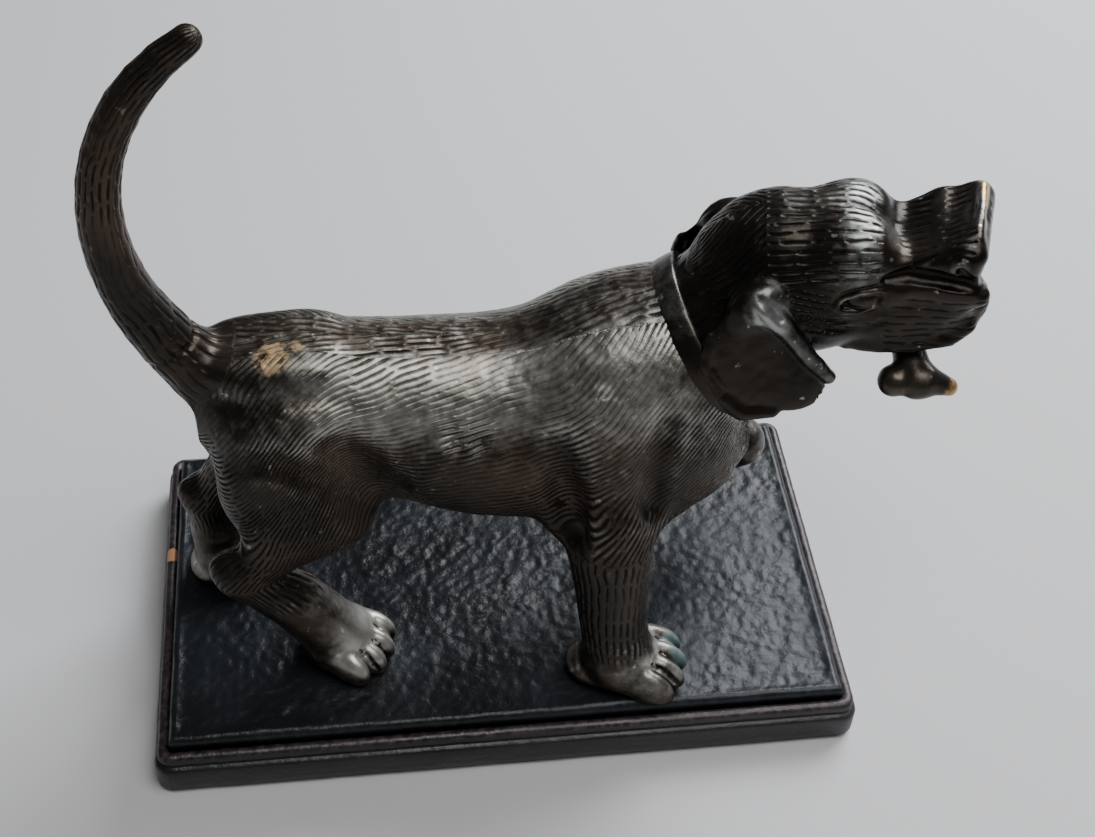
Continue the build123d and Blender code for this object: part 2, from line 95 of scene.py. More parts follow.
SKULL = place(46.0, 0, SPINE + 27.0)
HEAD_AXES = turned(8.0, -12.0)
NECK = place(31.0, 0, SPINE + 12.4)
NECK_AXES = turned(30.0, 0.0)


def on_head(forward, left, up):
    return SKULL + HEAD_AXES @ np.array([forward, left, up], float)


def head_line(stations, side=1):
    """Stations (forward, outward, up, radius) on one side of the head, as points and radii."""
    return [(on_head(s, side * t, w), r) for s, t, w, r in stations]


# ---------------------------------------------------------------- volumes
def ellipsoid(centre, sizes, axes=None):
    """Signed distance to an ellipsoid, nearly true close to its surface."""
    axes = np.eye(3) if axes is None else axes
    sizes = np.array(sizes, float)

    def distance(points):
        local = (points - centre) @ axes
        near = np.linalg.norm(local / sizes, axis=1)
        slope = np.linalg.norm(local / sizes**2, axis=1) + 1e-9
        return near * (near - 1.0) / slope

    return distance, np.array(centre, float), float(sizes.max())


def cone(start, end, start_radius, end_radius):
    """Signed distance to a tapered rod with round ends."""
    start, end = np.array(start, float), np.array(end, float)
    along = end - start
    length2 = float(along @ along)

    def distance(points):
        rel = points - start
        share = np.clip(rel @ along / length2, 0.0, 1.0)
        gap = np.linalg.norm(rel - share[:, None] * along, axis=1)
        return gap - (start_radius + share * (end_radius - start_radius))

    reach = math.sqrt(length2) / 2 + max(start_radius, end_radius)
    return distance, (start + end) / 2, reach


def limb(stations):
    """Signed distance to tapered rods joined end to end."""
    rods = [cone(a, b, ra, rb) for (a, ra), (b, rb) in zip(stations[:-1], stations[1:])]

    def distance(points):
        return np.min([rod[0](points) for rod in rods], axis=0)

    points = np.array([station[0] for station in stations], float)
    centre = (points.min(0) + points.max(0)) / 2
    reach = max(np.linalg.norm(p - centre) + r for p, r in stations)
    return distance, centre, float(reach)


def rounded_box(centre, sizes, axes, edge):
    """Signed distance to a box of the given half sizes with rounded edges."""
    inner = np.array(sizes, float) - edge

    def distance(points):
        gap = np.abs((points - centre) @ axes) - inner
        outside = np.linalg.norm(np.maximum(gap, 0), axis=1)
        return outside + np.minimum(gap.max(axis=1), 0) - edge

    return distance, np.array(centre, float), float(np.linalg.norm(sizes))


def half_space(origin, normal):
    """Negative on the side that the normal points away from."""
    origin, normal = np.array(origin, float), np.array(normal, float)

    def distance(points):
        return (points - origin) @ normal

    return distance, origin, 1e6


def smooth_min(a, b, k):
    h = np.clip(0.5 + 0.5 * (b - a) / k, 0.0, 1.0)
    return b * (1 - h) + a * h - k * h * (1 - h)


class Field:
    """Volumes added and cut in order, each melted into the last by a distance in millimetres."""

    def __init__(self):
        self.steps = []

    def add(self, volume, melt=1.0):
        self.steps.append(("add", volume, melt))
        return self

    def cut(self, volume, melt=0.5):
        self.steps.append(("cut", volume, melt))
        return self

    def chain(self, stations, melt=1.0):
        """A limb through (point, radius) stations."""
        return self.add(limb(stations), melt)

    def carve(self, stations, melt=0.5):
        """A groove through (point, radius) stations."""
        return self.cut(limb(stations), melt)

    def join(self, other, melt):
        """Another field's steps, its first volume melted in by the given distance."""
        for number, (kind, volume, own) in enumerate(other.steps):
            self.steps.append((kind, volume, own if number else melt))
        return self

    def __call__(self, points):
        total = None
        for kind, (distance, centre, reach), melt in self.steps:
            far = np.linalg.norm(points - centre, axis=1) - reach
            value = far.copy()
            close = far < (6.0 + melt)
            if close.any():
                value[close] = distance(points[close])
            if total is None:
                total = value
            elif kind == "add":
                total = smooth_min(total, value, melt)
            else:
                total = -smooth_min(-total, value, melt)
        return total


def trunk_volume(node, count=26):
    """The torso's own sections, read off the CAD solid, as one volume of elliptical slices."""
    mesh = frame["nodes"][node].data
    tree = BVHTree.FromPolygons([v.co for v in mesh.vertices], [p.vertices for p in mesh.polygons])
    low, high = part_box(node)
    far = 1.0

    def hit(origin, direction):
        found = tree.ray_cast(Vector(origin), Vector(direction))[0]
        return None if found is None else np.array(found) * MM

    rows = []
    for x in np.linspace(low.x + 0.0008, high.x - 0.0012, count):
        y = MIDDLE_Y / MM
        top = hit((x, y, far), (0, 0, -1))
        bottom = hit((x, y, -far), (0, 0, 1))
        if top is None or bottom is None:
            continue
        z = (top[2] + bottom[2]) / 2
        side = hit((x, -far, z / MM), (0, 1, 0))
        if side is None:
            continue
        rows.append((x * MM, z, MIDDLE_Y - side[1], (top[2] - bottom[2]) / 2))
    rows = np.array(rows)
    dense = np.linspace(rows[0, 0], rows[-1, 0], 8 * count)
    kernel = np.hanning(19) / np.hanning(19).sum()
    columns = []
    for column in rows.T[1:]:
        line = np.interp(dense, rows[:, 0], column)
        padded = np.pad(line, 9, mode="reflect", reflect_type="odd")
        columns.append(np.convolve(padded, kernel, mode="valid"))
    x, (z, a, b) = dense, columns
    first, last = x[0], x[-1]

    def distance(points):
        px = np.clip(points[:, 0], first, last)
        ca, cb, cz = np.interp(px, x, a), np.interp(px, x, b), np.interp(px, x, z)
        beyond = points[:, 0] - px
        dy, dz = points[:, 1] - MIDDLE_Y, points[:, 2] - cz
        size = np.sqrt((dy / ca) ** 2 + (dz / cb) ** 2) + 1e-9
        slope = np.sqrt((dy / ca**2) ** 2 + (dz / cb**2) ** 2) + 1e-9
        flat = size * (size - 1.0) / slope
        flat = np.where(size < 0.3, -np.minimum(ca, cb) * (1 - size), flat)
        return np.where(beyond == 0, flat, np.hypot(np.maximum(flat, 0), beyond))

    centre = np.array([(first + last) / 2, MIDDLE_Y, z.mean()])
    return distance, centre, (last - first) / 2 + 12.0


# ---------------------------------------------------------------- noise
def lattice_noise(points, size, seed):
    """Smooth noise from -1 to 1 with lumps of about the given size."""
    grid = points / size + seed * 17.31
    cell = np.floor(grid).astype(np.int64)
    frac = grid - cell
    frac = frac * frac * (3 - 2 * frac)
    total = np.zeros(len(points))
    for corner in range(8):
        offset = np.array([corner & 1, (corner >> 1) & 1, (corner >> 2) & 1])
        key = (cell + offset) @ np.array([73856093, 19349663, 83492791]) + seed * 2654435761
        key = (key ^ (key >> 13)) * 1274126177
        value = ((key ^ (key >> 16)) & 0xFFFF) / 32767.5 - 1.0
        weight = np.prod(np.where(offset, frac, 1 - frac), axis=1)
        total += value * weight
    return total


def hashed(index, seed=0):
    """A steady random number from 0 to 1 for each whole number."""
    value = np.sin(index * 12.9898 + seed * 78.233) * 43758.5453
    return value - np.floor(value)


def smooth_step(low, high, value):
    t = np.clip((value - low) / (high - low), 0.0, 1.0)
    return t * t * (3 - 2 * t)


# ---------------------------------------------------------------- meshing
BODY_STEP, HEAD_STEP, SMALL_STEP = 1.2, 0.9, 0.6  # first mesh sizes, halved by each subdivision


def surface_net(field, low, high, step):
    """Quads round the field's zero surface, by naive surface nets on a regular grid."""
    counts = np.ceil((np.array(high) - low) / step).astype(int) + 1
    axes = [low[i] + step * np.arange(counts[i]) for i in range(3)]
    grid = np.stack(np.meshgrid(*axes, indexing="ij"), axis=-1).reshape(-1, 3)
    values = np.concatenate([field(part) for part in np.array_split(grid, 1 + len(grid) // 200000)])
    values = values.reshape(counts)
    inside = values < 0
    cells = counts - 1
    total = np.zeros((*cells, 3))
    hits = np.zeros(cells)
    corners = [(i, j, k) for i in (0, 1) for j in (0, 1) for k in (0, 1)]

    def corner_part(array, corner):
        i, j, k = corner
        return array[i : i + cells[0], j : j + cells[1], k : k + cells[2]]

    for a in corners:
        for axis in range(3):
            if a[axis]:
                continue
            b = tuple(1 if n == axis else a[n] for n in range(3))
            va, vb = corner_part(values, a), corner_part(values, b)
            crossing = (va < 0) != (vb < 0)
            share = np.where(crossing, va / np.where(crossing, va - vb, 1.0), 0.0)
            for n in range(3):
                total[..., n] += np.where(crossing, a[n] + (share if n == axis else 0.0), 0.0)
            hits += crossing
    used = hits > 0
    index = np.full(cells, -1)
    index[used] = np.arange(used.sum())
    where = np.argwhere(used)
    vertices = low + step * (where + total[used] / hits[used][:, None])
    quads = []
    for axis in range(3):
        u, v = (axis + 1) % 3, (axis + 2) % 3
        here = [slice(1, -1)] * 3
        here[axis] = slice(0, -1)
        there = list(here)
        there[axis] = slice(1, None)
        first = inside[tuple(here)]
        second = inside[tuple(there)]
        spots = np.argwhere(first != second)
        flips = first[tuple(spots.T)]
        spots[:, u] += 1
        spots[:, v] += 1
        ring = []
        for du, dv in ((0, 0), (1, 0), (1, 1), (0, 1)):
            cell = spots.copy()
            cell[:, u] -= du
            cell[:, v] -= dv
            ring.append(index[tuple(cell.T)])
        ring = np.stack(ring, axis=1)
        ring[~flips] = ring[~flips][:, ::-1]
        quads.append(ring)
    return vertices, np.concatenate(quads)


def gradient(field, points, step=0.12):
    """The field's value and slope at each point, from four samples round it."""
    corners = np.array([[1, 1, 1], [1, -1, -1], [-1, 1, -1], [-1, -1, 1]], float)
    slope = np.zeros_like(points)
    value = np.zeros(len(points))
    for corner in corners:
        sample = field(points + step * corner)
        slope += sample[:, None] * corner
        value += sample / 4
    return value, slope / (4 * step)


def settle(field, points, rounds=2):
    """Moves points onto the field's zero surface and gives their outward normals."""
    for _ in range(rounds):
        value, slope = gradient(field, points)
        size2 = (slope**2).sum(1) + 1e-6
        points = points - np.clip(value / size2, -1.0, 1.0)[:, None] * slope
    value, slope = gradient(field, points)
    normals = slope / (np.linalg.norm(slope, axis=1)[:, None] + 1e-9)
    return points, normals


def mesh_from(name, vertices, faces):
    mesh = bpy.data.meshes.new(name)
    faces = faces.tolist() if isinstance(faces, np.ndarray) else faces
    mesh.from_pydata((vertices / MM).tolist(), [], faces)
    mesh.update()
    return mesh


def subdivided(vertices, faces):
    """One round of Catmull-Clark subdivision."""
    mesh = mesh_from("work", vertices, faces)
    work = bpy.data.objects.new("work", mesh)
    bpy.context.scene.collection.objects.link(work)
    modifier = work.modifiers.new("smooth", "SUBSURF")
    modifier.levels = 1
    finer = bpy.data.meshes.new_from_object(work.evaluated_get(bpy.context.evaluated_depsgraph_get()))
    vertices = np.empty(len(finer.vertices) * 3, np.float32)
    finer.vertices.foreach_get("co", vertices)
    faces = np.empty(len(finer.loops), np.int32)
    finer.loops.foreach_get("vertex_index", faces)
    bpy.data.objects.remove(work)
    bpy.data.meshes.remove(mesh)
    bpy.data.meshes.remove(finer)
    return vertices.reshape(-1, 3).astype(float) * MM, faces.reshape(-1, 4)


def sculpt(field, low, high, step, rounds=2):
    """A fine quad mesh of the field's surface, with normals."""
    vertices, faces = surface_net(field, np.array(low, float), np.array(high, float), step)
    vertices, _ = settle(field, vertices)
    for _ in range(rounds):
        vertices, faces = subdivided(vertices, faces)
        vertices, normals = settle(field, vertices, 1)
    return vertices, faces, normals


# ---------------------------------------------------------------- the dog's volumes
HIP_NEAR = place(-33.5, -8.5, SPINE - 4)
HIP_FAR = place(-37.0, 8.0, SPINE - 4)
NEAR_FORE_FOOT = place(20.5, -19.3, 0)
NEAR_HIND_FOOT = place(-26.8, -10.6, 0)
FAR_HIND_FOOT = place(-46.0, 11.0, 0)


def hind_leg(hip, knee, shin, hock, shank, foot, toes_x, turn):
    """Thigh, lower leg, shank and paw; the paw is turned left by so many degrees."""
    leg = Field()
    leg.add(ellipsoid(hip, (11.0, 6.4, 15.5), turned(-12, 0)))
    leg.add(ellipsoid(hip + [6.0, -0.4, -8.0], (7.5, 5.4, 8.5), turned(-30, 0)), 4.0)
    leg.chain([(knee, 6.0), (shin, 4.7), (hock, 3.7)], 4.0)
    leg.add(ellipsoid(hock + [-1.4, 0, 1.0], (3.4, 2.8, 4.0), turned(60, 0)), 1.5)
    leg.chain([(hock, 4.0), (shank, 5.0), (foot + [-1.5, 0, 5.6], 5.5)], 2.2)
    add_paw(leg, foot, (6.4, 6.5, 5.5), toes_x, turn)
    return leg


def add_paw(leg, foot, sizes, toes_x, turn):
    """A compact hound paw: a domed instep, four long rounded toes and a heel pad."""
    length, width, height = sizes
    axes = turned(0, turn)

    def at(forward, left, up):
        return foot + axes @ np.array([forward, left, up])

    dome = (length * 0.86, width * 0.98, height * 0.92)
    leg.add(ellipsoid(at(-0.8, 0, height * 0.66), dome, turned(-14, turn)), 2.2)
    toe_size = (length * 0.70, width * 0.35, height * 0.66)
    for side in TOES:
        toe = at(toes_x - 0.7 * side * side - length * 0.55, side * width * 0.46, height * 0.54)
        leg.add(ellipsoid(toe, toe_size, turned(-20, turn + 6 * side)), 0.9)
    for side in (-1, 0, 1):
        gap = side * width * 0.46
        top = at(toes_x - length * 1.05, gap * 0.8, height * 1.30)
        front = at(toes_x + 0.6, gap * 1.05, height * 0.2)
        middle = at(toes_x - length * 0.32, gap, height * 0.98)
        leg.carve([(top, 0.2), (middle, 0.26), (front, 0.24)], 0.4)
    leg.add(ellipsoid(at(-length * 0.7, 0, 1.8), (length * 0.6, width * 0.75, 2.6)), 1.8)


def make_legs():
    legs = {}
    legs["near_hind_leg"] = hind_leg(
        HIP_NEAR,
        knee=place(-29.0, -9.5, 37.0),
        shin=place(-37.0, -10.5, 29.0),
        hock=place(-42.5, -11.0, 23.8),
        shank=place(-34.5, -11.0, 15.8),
        foot=NEAR_HIND_FOOT,
        toes_x=7.4,
        turn=-28,
    )
    legs["far_hind_leg"] = hind_leg(
        HIP_FAR,
        knee=place(-37.0, 9.5, 37.0),
        shin=place(-43.5, 10.5, 27.0),
        hock=place(-49.0, 11.0, 18.5),
        shank=place(-48.2, 11.0, 11.0),
        foot=FAR_HIND_FOOT,
        toes_x=6.9,
        turn=8,
    )
    fore = Field()
    fore.add(ellipsoid(place(18.0, -10.6, SPINE - 4), (10.0, 6.6, 16.0), turned(20, 0)))
    fore.add(ellipsoid(place(12.5, -11.6, SPINE - 12), (6.5, 5.0, 8.0), turned(-20, 0)), 3.5)
    shin = [(17.0, -13.4, 36.5, 7.8), (16.6, -15.4, 29.0, 7.0), (17.0, -17.2, 20.0, 6.0)]
    shin += [(17.6, -18.2, 12.5, 5.6), (18.6, -19.0, 6.8, 5.8)]
    fore.chain(body_line(shin), 3.0)
    add_paw(fore, place(20.3, -18.9, 0), (8.2, 6.7, 5.8), 9.4, -15)
    legs["near_foreleg"] = fore
    lifted = Field()
    lifted.add(ellipsoid(place(20.0, 10.0, SPINE - 7), (9.5, 6.0, 14.0), turned(20, 0)))
    forearm = [(22.5, 12.0, 34.0, 6.2), (35.0, 13.2, 26.5, 4.7), (44.3, 13.5, 21.3, 4.3)]
    folded = [(44.0, 13.5, 21.0, 4.0), (39.4, 13.8, 17.0, 3.7), (36.4, 14.0, 14.2, 3.6)]
    lifted.chain(body_line(forearm), 3.0)
    lifted.chain(body_line(folded), 1.6)
    for side in TOES:
        root = place(38.0 + 0.5 * abs(side), 14.0 + side * 1.9, 14.2)
        lifted.add(cone(root, root + [-2.8, 0, -3.0], 1.8, 1.5), 0.5)
    legs["raised_foreleg"] = lifted
    return legs


TAIL_HUB = place(-21.3, 0, SPINE + 41.0)
TAIL_ANGLES = (229.0, 124.0)
TAIL_THICK = (5.2, 3.0, 2.1)


def tail_reach(share):
    """How far the tail's middle line is from its hub, from root (0) to tip (1)."""
    return 34.0 + 3.6 * (1 - share) ** 4


def tail_point(share):
    """The tail's centre line, from root to tip, and its half thickness there."""
    angle = math.radians(TAIL_ANGLES[0] + share * (TAIL_ANGLES[1] - TAIL_ANGLES[0]))
    reach = tail_reach(share)
    root, middle, tip = TAIL_THICK
    half = middle + (root - middle) * (1 - share) ** 3 + (tip - middle) * share**6
    return TAIL_HUB + np.array([reach * math.cos(angle), 0, reach * math.sin(angle)]), half


def make_tail():
    return Field().chain([tail_point(share) for share in np.linspace(0, 1, 15)], 1.2)


def tail_joint():
    """The open joint line round the tail's root."""
    centre, half = tail_point(0.085)
    onward, _ = tail_point(0.12)
    along = (onward - centre) / np.linalg.norm(onward - centre)
    out = np.cross(along, [0, 1.0, 0])
    ring = []
    for angle in np.radians(np.arange(0, 391, 30)):
        reach = (half + 0.3) * (out * math.cos(angle) + np.array([0, 1.0, 0]) * math.sin(angle))
        ring.append((centre + reach + along * 0.5 * math.sin(3 * angle), 0.45))
    return ring


def make_trunk():
    trunk = Field()
    trunk.add(trunk_volume("torso"))
    trunk.add(cone(place(20, 0, SPINE + 4), NECK + NECK_AXES @ np.array([8.0, 0, 0]), 15.5, 11.8), 5.0)
    return trunk


def make_body(trunk, legs, tail):
    """Every body casting melted together, with the muscles, ribs and folds."""
    body = Field()
    body.steps += trunk.steps
    for leg in legs.values():
        body.join(leg, 4.5)
    body.join(tail, 4.0)
    for side in SIDES:
        for along, height in ((5.0, 41.0), (0.6, 41.0), (-3.8, 41.5), (-8.2, 42.5), (-12.4, 43.5)):
            low = place(along - 2.2, side * 11.4, height - 2)
            high = place(along + 2.4, side * 12.8, height + 8.5)
            body.add(cone(low, high, 1.3, 0.9), 2.8)
        body.cut(cone(place(-25.0, side * 13.6, 52), place(-18.0, side * 14.6, 38), 2.4, 3.6), 5.0)
        body.cut(cone(place(7.6, side * 16.2, 54), place(9.6, side * 16.4, 35), 1.4, 2.6), 3.6)
        rump = [(-42.0, 13.6, 50, 0.8), (-36.0, 14.9, 53, 1.3), (-27.0, 15.4, 47, 1.2)]
        body.carve(body_line(rump, side), 3.0)
        shoulder = [(25.0, 16.4, 60, 0.8), (21.5, 18.0, 50, 1.3), (22.5, 17.6, 40, 1.1)]
        body.carve(body_line(shoulder, side), 3.6)
        body.add(ellipsoid(place(14.0, side * 11.4, 52), (7.5, 4.0, 8.0), turned(55, 0)), 3.5)
        body.add(ellipsoid(place(28.0, side * 9.5, 46), (7.0, 5.5, 10.0), turned(30, 0)), 3.0)
    for along, height in ((-38.0, 2.6), (-30.0, 2.9)):
        for side in SIDES:
            body.add(ellipsoid(place(along, side * 3.8, SPINE + 14.2), (5.5, 3.6, height)), 3.5)
    for share in np.linspace(0.0, 1.0, 7):
        nape = place(16.0 + 8.0 * share, 0, SPINE + 20.0 + 2.0 * share)
        body.add(cone(nape + [0, -6.0, -3.0], nape + [0, 6.0, -3.0], 1.0, 1.0), 2.6)
    body.carve(tail_joint(), 0.4)
    body.cut(half_space(place(0, 0, 0.02), (0, 0, 1)), 0.25)
    body.cut(half_space(NECK, -NECK_AXES[:, 0]), 0.3)
    return body


def mouth_crease(side):
    """The deep fold that runs from the nose to the eye, between the bridge and the heavy lip."""
    stations = [(24.6, 9.2, 0.8, 0.8), (22.5, 9.3, 1.9, 1.2), (18.5, 8.9, 2.8, 1.3)]
    return head_line([*stations, (14.5, 8.1, 3.1, 1.2), (11.2, 8.2, 2.6, 0.6)], side)


def make_head():
    """Neck, skull, brow, broad flaring bridge, heavy lips and the open mouth between them."""
    head = Field()
    head.add(ellipsoid(on_head(-3.8, 0, -0.6), (12.6, 10.6, 11.7), HEAD_AXES))
    head.add(ellipsoid(on_head(5.0, 0, 1.2), (8.2, 9.6, 9.6), HEAD_AXES), 3.0)
    head.chain([(NECK - NECK_AXES @ np.array([3.0, 0, 0]), 12.3), (on_head(-5.0, 0, -3.0), 9.6)], 4.0)
    bridge = [(10.0, 5.6, 3.4, 1.0), (14.5, 6.1, 3.5, 0.8), (19.0, 7.0, 4.3, 1.5), (22.2, 7.8, 4.8, 2.0)]
    for behind, ahead in zip(bridge[:-1], bridge[1:]):
        for share in np.linspace(0, 1, 5)[:-1]:
            s, t, w, r = np.array(behind) * (1 - share) + np.array(ahead) * share
            slab = rounded_box(on_head(s, 0, w - 4.0), (2.4, t + 1.2, 4.0 + r), HEAD_AXES, 1.6)
            head.add(slab, 1.2)
    head.add(rounded_box(on_head(22.7, 0, 1.6), (2.6, 9.0, 6.4), turned(-10.0, -21.0), 2.1), 1.6)
    for side in SIDES:
        head.add(ellipsoid(on_head(0.0, side * 6.0, -5.4), (9.0, 5.0, 6.6), HEAD_AXES), 3.0)
        head.add(ellipsoid(on_head(16.0, side * 4.6, -4.6), (10.6, 4.3, 7.9), HEAD_AXES), 1.2)
        head.add(ellipsoid(on_head(10.5, side * 5.2, -7.0), (7.0, 3.4, 5.8), HEAD_AXES), 2.0)
        head.add(ellipsoid(on_head(7.2, side * 4.8, 4.6), (5.4, 4.6, 5.0), HEAD_AXES), 3.2)
    head.add(ellipsoid(on_head(19.6, 0.4, -4.4), (5.6, 8.6, 7.2), turned(8.0, -20.0)), 1.6)
    rim = [(25.2, 8.0, 2.6), (25.7, 8.0, 6.0), (25.6, 6.0, 7.9), (24.9, 0, 8.5)]
    rim += [(23.8, -6.0, 7.6), (23.1, -8.0, 5.6), (22.4, -8.4, 2.2)]
    head.chain([(on_head(*point), 0.75) for point in rim], 1.2)
    head.carve(head_line([(26.4, 0, 3.5, 0.4), (25.8, 0, -2.0, 0.4), (24.6, 0, -7.0, 0.4)]), 0.7)
    head.add(ellipsoid(on_head(-12.5, 0, 1.4), (3.4, 4.4, 3.6), HEAD_AXES), 2.5)
    head.carve(head_line([(13.0, 0, 7.6, 0.3), (8.0, 0, 11.2, 0.3), (1.0, 0, 12.4, 0.2)]), 2.0)
    head.cut(rounded_box(on_head(10.0, 0, -13.4), (12.0, 3.9, 5.6), HEAD_AXES, 1.5), 1.0)
    for side in SIDES:
        roll = [(24.6, 7.4, -1.6, 1.7), (20.5, 7.6, 0.0, 1.7), (15.0, 7.3, 0.5, 1.7), (11.4, 7.6, -0.6, 1.7)]
        head.chain(head_line(roll, side), 1.6)
        head.carve(mouth_crease(side), 0.5)
        nostril = [(23.4, 9.2, 2.4, 0.7), (22.4, 9.3, 3.4, 0.75), (21.4, 9.0, 4.6, 0.45)]
        head.carve(head_line(nostril, side), 0.4)
        head.cut(ellipsoid(on_head(8.0, side * 10.0, -0.5), (3.6, 1.4, 2.1), HEAD_AXES), 1.6)
        head.add(ellipsoid(on_head(7.6, side * 8.2, -0.6), (2.7, 1.7, 1.7), HEAD_AXES), 0.2)
        upper = [(11.6, 8.0, 0.2), (9.8, 8.9, 1.0), (7.4, 9.4, 1.1), (5.0, 9.6, 0.2), (3.8, 9.8, -1.2)]
        lower = [(11.6, 8.0, -0.4), (9.6, 8.9, -2.0), (7.2, 9.5, -2.5), (5.0, 9.8, -2.0), (3.8, 9.8, -1.2)]
        for lid, radius in ((upper, 0.5), (lower, 0.45)):
            head.chain(head_line([(*station, radius) for station in lid], side), 0.4)
        for drop, depth in ((-4.1, 0.25), (-5.8, 0.35)):
            pouch = [(10.6, 9.1, 0.6), (8.6, 9.5, -0.4), (3.4, 10.4, 0.6), (-1.0, 10.8, 2.0)]
            head.carve(head_line([(s, t, drop + w, depth) for s, t, w in pouch], side), 1.0)
        lip = [(23.4, 7.0, -8.2), (21.0, 7.6, -10.2), (15.0, 7.6, -11.4), (9.0, 7.4, -11.2), (6.0, 7.2, -10.6)]
        head.chain(head_line([(*station, 0.9) for station in lip], side), 1.8)
    head.cut(half_space(NECK, NECK_AXES[:, 0]), 0.3)
    return head


def ear_plane(side):
    """The upward and outward directions of the plane that an ear hangs in."""
    flare = math.radians(13.0)
    rise = np.array([0.0, -side * math.sin(flare), math.cos(flare)])
    return rise, np.array([0.0, side * math.cos(flare), math.sin(flare)])


def ear_place(side, forward, up, out):
    """A point on an ear: forward of its root, above it, and out from the plane it hangs in."""
    root = on_head(-7.0, -10.5, 1.0) if side < 0 else on_head(-11.5, 10.0, 0.4)
    rise, outward = ear_plane(side)
    return root + forward * FORWARD + up * rise + out * outward


def ear_axes(side, spin):
    rise, outward = ear_plane(side)
    c, n = math.cos(math.radians(spin)), math.sin(math.radians(spin))
    return np.stack([c * FORWARD + n * rise, -n * FORWARD + c * rise, outward], axis=1)


def ear_roll(side):
    """The rolled front edge of an ear, from its root to its tip."""
    stations = [
        (0.6, -0.8, 1.6, 1.9),
        (3.2, -3.4, 1.9, 1.7),
        (5.6, -6.4, 2.0, 1.5),
        (8.0, -9.4, 1.9, 1.35),
        (10.2, -11.8, 1.6, 1.25),
        (11.2, -13.0, 1.3, 1.15),
    ]
    return [(ear_place(side, forward, up, out), radius) for forward, up, out, radius in stations]


def make_ear(side):
    """A hanging flap with a rolled front edge that curls forward at its tip."""
    ear = Field()
    ear.add(ellipsoid(ear_place(side, -1.0, -10.6, 0.5), (7.0, 9.6, 1.2), ear_axes(side, 10)))
    ear.add(ellipsoid(ear_place(side, 3.4, -12.8, 0.8), (8.2, 5.4, 1.1), ear_axes(side, -30)), 1.2)
    ear.add(ellipsoid(ear_place(side, -0.4, -0.6, 0.2), (4.2, 3.4, 2.9), ear_axes(side, 30)), 1.8)
    ear.chain(ear_roll(side), 0.8)
    ear.cut(ellipsoid(ear_place(side, 1.0, -11.2, 3.1), (4.6, 7.6, 1.7), ear_axes(side, 22)), 1.4)
    for start, end in (((-0.8, 2.2), (2.6, -1.6)), ((-2.6, 1.0), (0.2, -3.0))):
        ear.carve([(ear_place(side, *start, 3.0), 0.4), (ear_place(side, *end, 3.5), 0.3)], 0.8)
    back = [(-7.2, -5.4, 0.4, 0.6), (-7.6, -10.4, 0.7, 0.9), (-5.6, -15.4, 1.0, 1.0)]
    back += [(-1.6, -18.8, 1.0, 1.0), (3.0, -19.0, 0.8, 0.7)]
    ear.chain([(ear_place(side, a, b, c), r) for a, b, c, r in back], 1.2)
    return ear


BONE_NEAR, BONE_FAR = on_head(16.2, -8.9, -17.2), on_head(11.3, 11.5, -7.2)


def make_bone():
    """A bone held across the mouth, its near end thick, with one lobe drawn out to a tip."""
    bone = Field()
    near, far = BONE_NEAR, BONE_FAR
    forward = HEAD_AXES[:, 0]
    stations = [(near, 3.0), (near * 0.84 + far * 0.16, 2.7), ((near + far) / 2, 1.8), (far, 2.2)]
    bone.chain(stations)
    bone.add(ellipsoid(near - forward * 3.4, (2.5, 2.6, 2.6), HEAD_AXES), 1.0)
    bone.add(cone(near + forward * 1.6, near + forward * 5.0 + [0, 0, -1.4], 2.5, 1.5), 1.0)
    for side in SIDES:
        bone.add(ellipsoid(far + forward * (3.0 * side), (2.6, 2.4, 2.3), HEAD_AXES), 1.2)
    return bone


def make_jaw():
    jaw = Field()
    jaw.chain(head_line([(2.0, 0, -14.4, 1.5), (12.0, 0, -15.0, 1.35), (20.0, 0, -14.6, 1.1)]))
    jaw.add(ellipsoid(on_head(9.0, 0, -14.8), (8.5, 3.3, 1.3), HEAD_AXES), 0.8)
    jaw.add(ellipsoid(on_head(17.5, 0, -14.7), (3.6, 2.6, 1.2), HEAD_AXES), 0.8)
    jaw.cut(cone(BONE_NEAR, BONE_FAR, 1.9, 1.9), 0.1)
    return jaw


def make_face(head, ears):
    """The head with both ears melted on."""
    face = Field()
    face.steps += head.steps[:-1]
    for ear in ears:
        face.join(ear, 2.2)
    face.steps.append(head.steps[-1])
    return face


# ---------------------------------------------------------------- splitting into castings
def sides_of(faces):
    """The four sides of every quad, as pairs of vertices."""
    return np.concatenate([np.stack([faces[:, i], faces[:, (i + 1) % 4]], axis=1) for i in range(4)])


def neighbours(faces, count):
    """Each vertex's neighbours as edge pairs, both ways round."""
    pairs = sides_of(faces)
    both = np.unique(np.concatenate([pairs, pairs[:, ::-1]]), axis=0)
    degree = np.bincount(both[:, 0], minlength=count)
    return both, degree


def smoothed(values, both, degree, rounds):
    for _ in range(rounds):
        sums = [np.bincount(both[:, 0], column[both[:, 1]], len(column)) for column in values.T]
        total = np.stack(sums, axis=1)
        values = (values + total / np.maximum(degree, 1)[:, None]) / 2
    return values


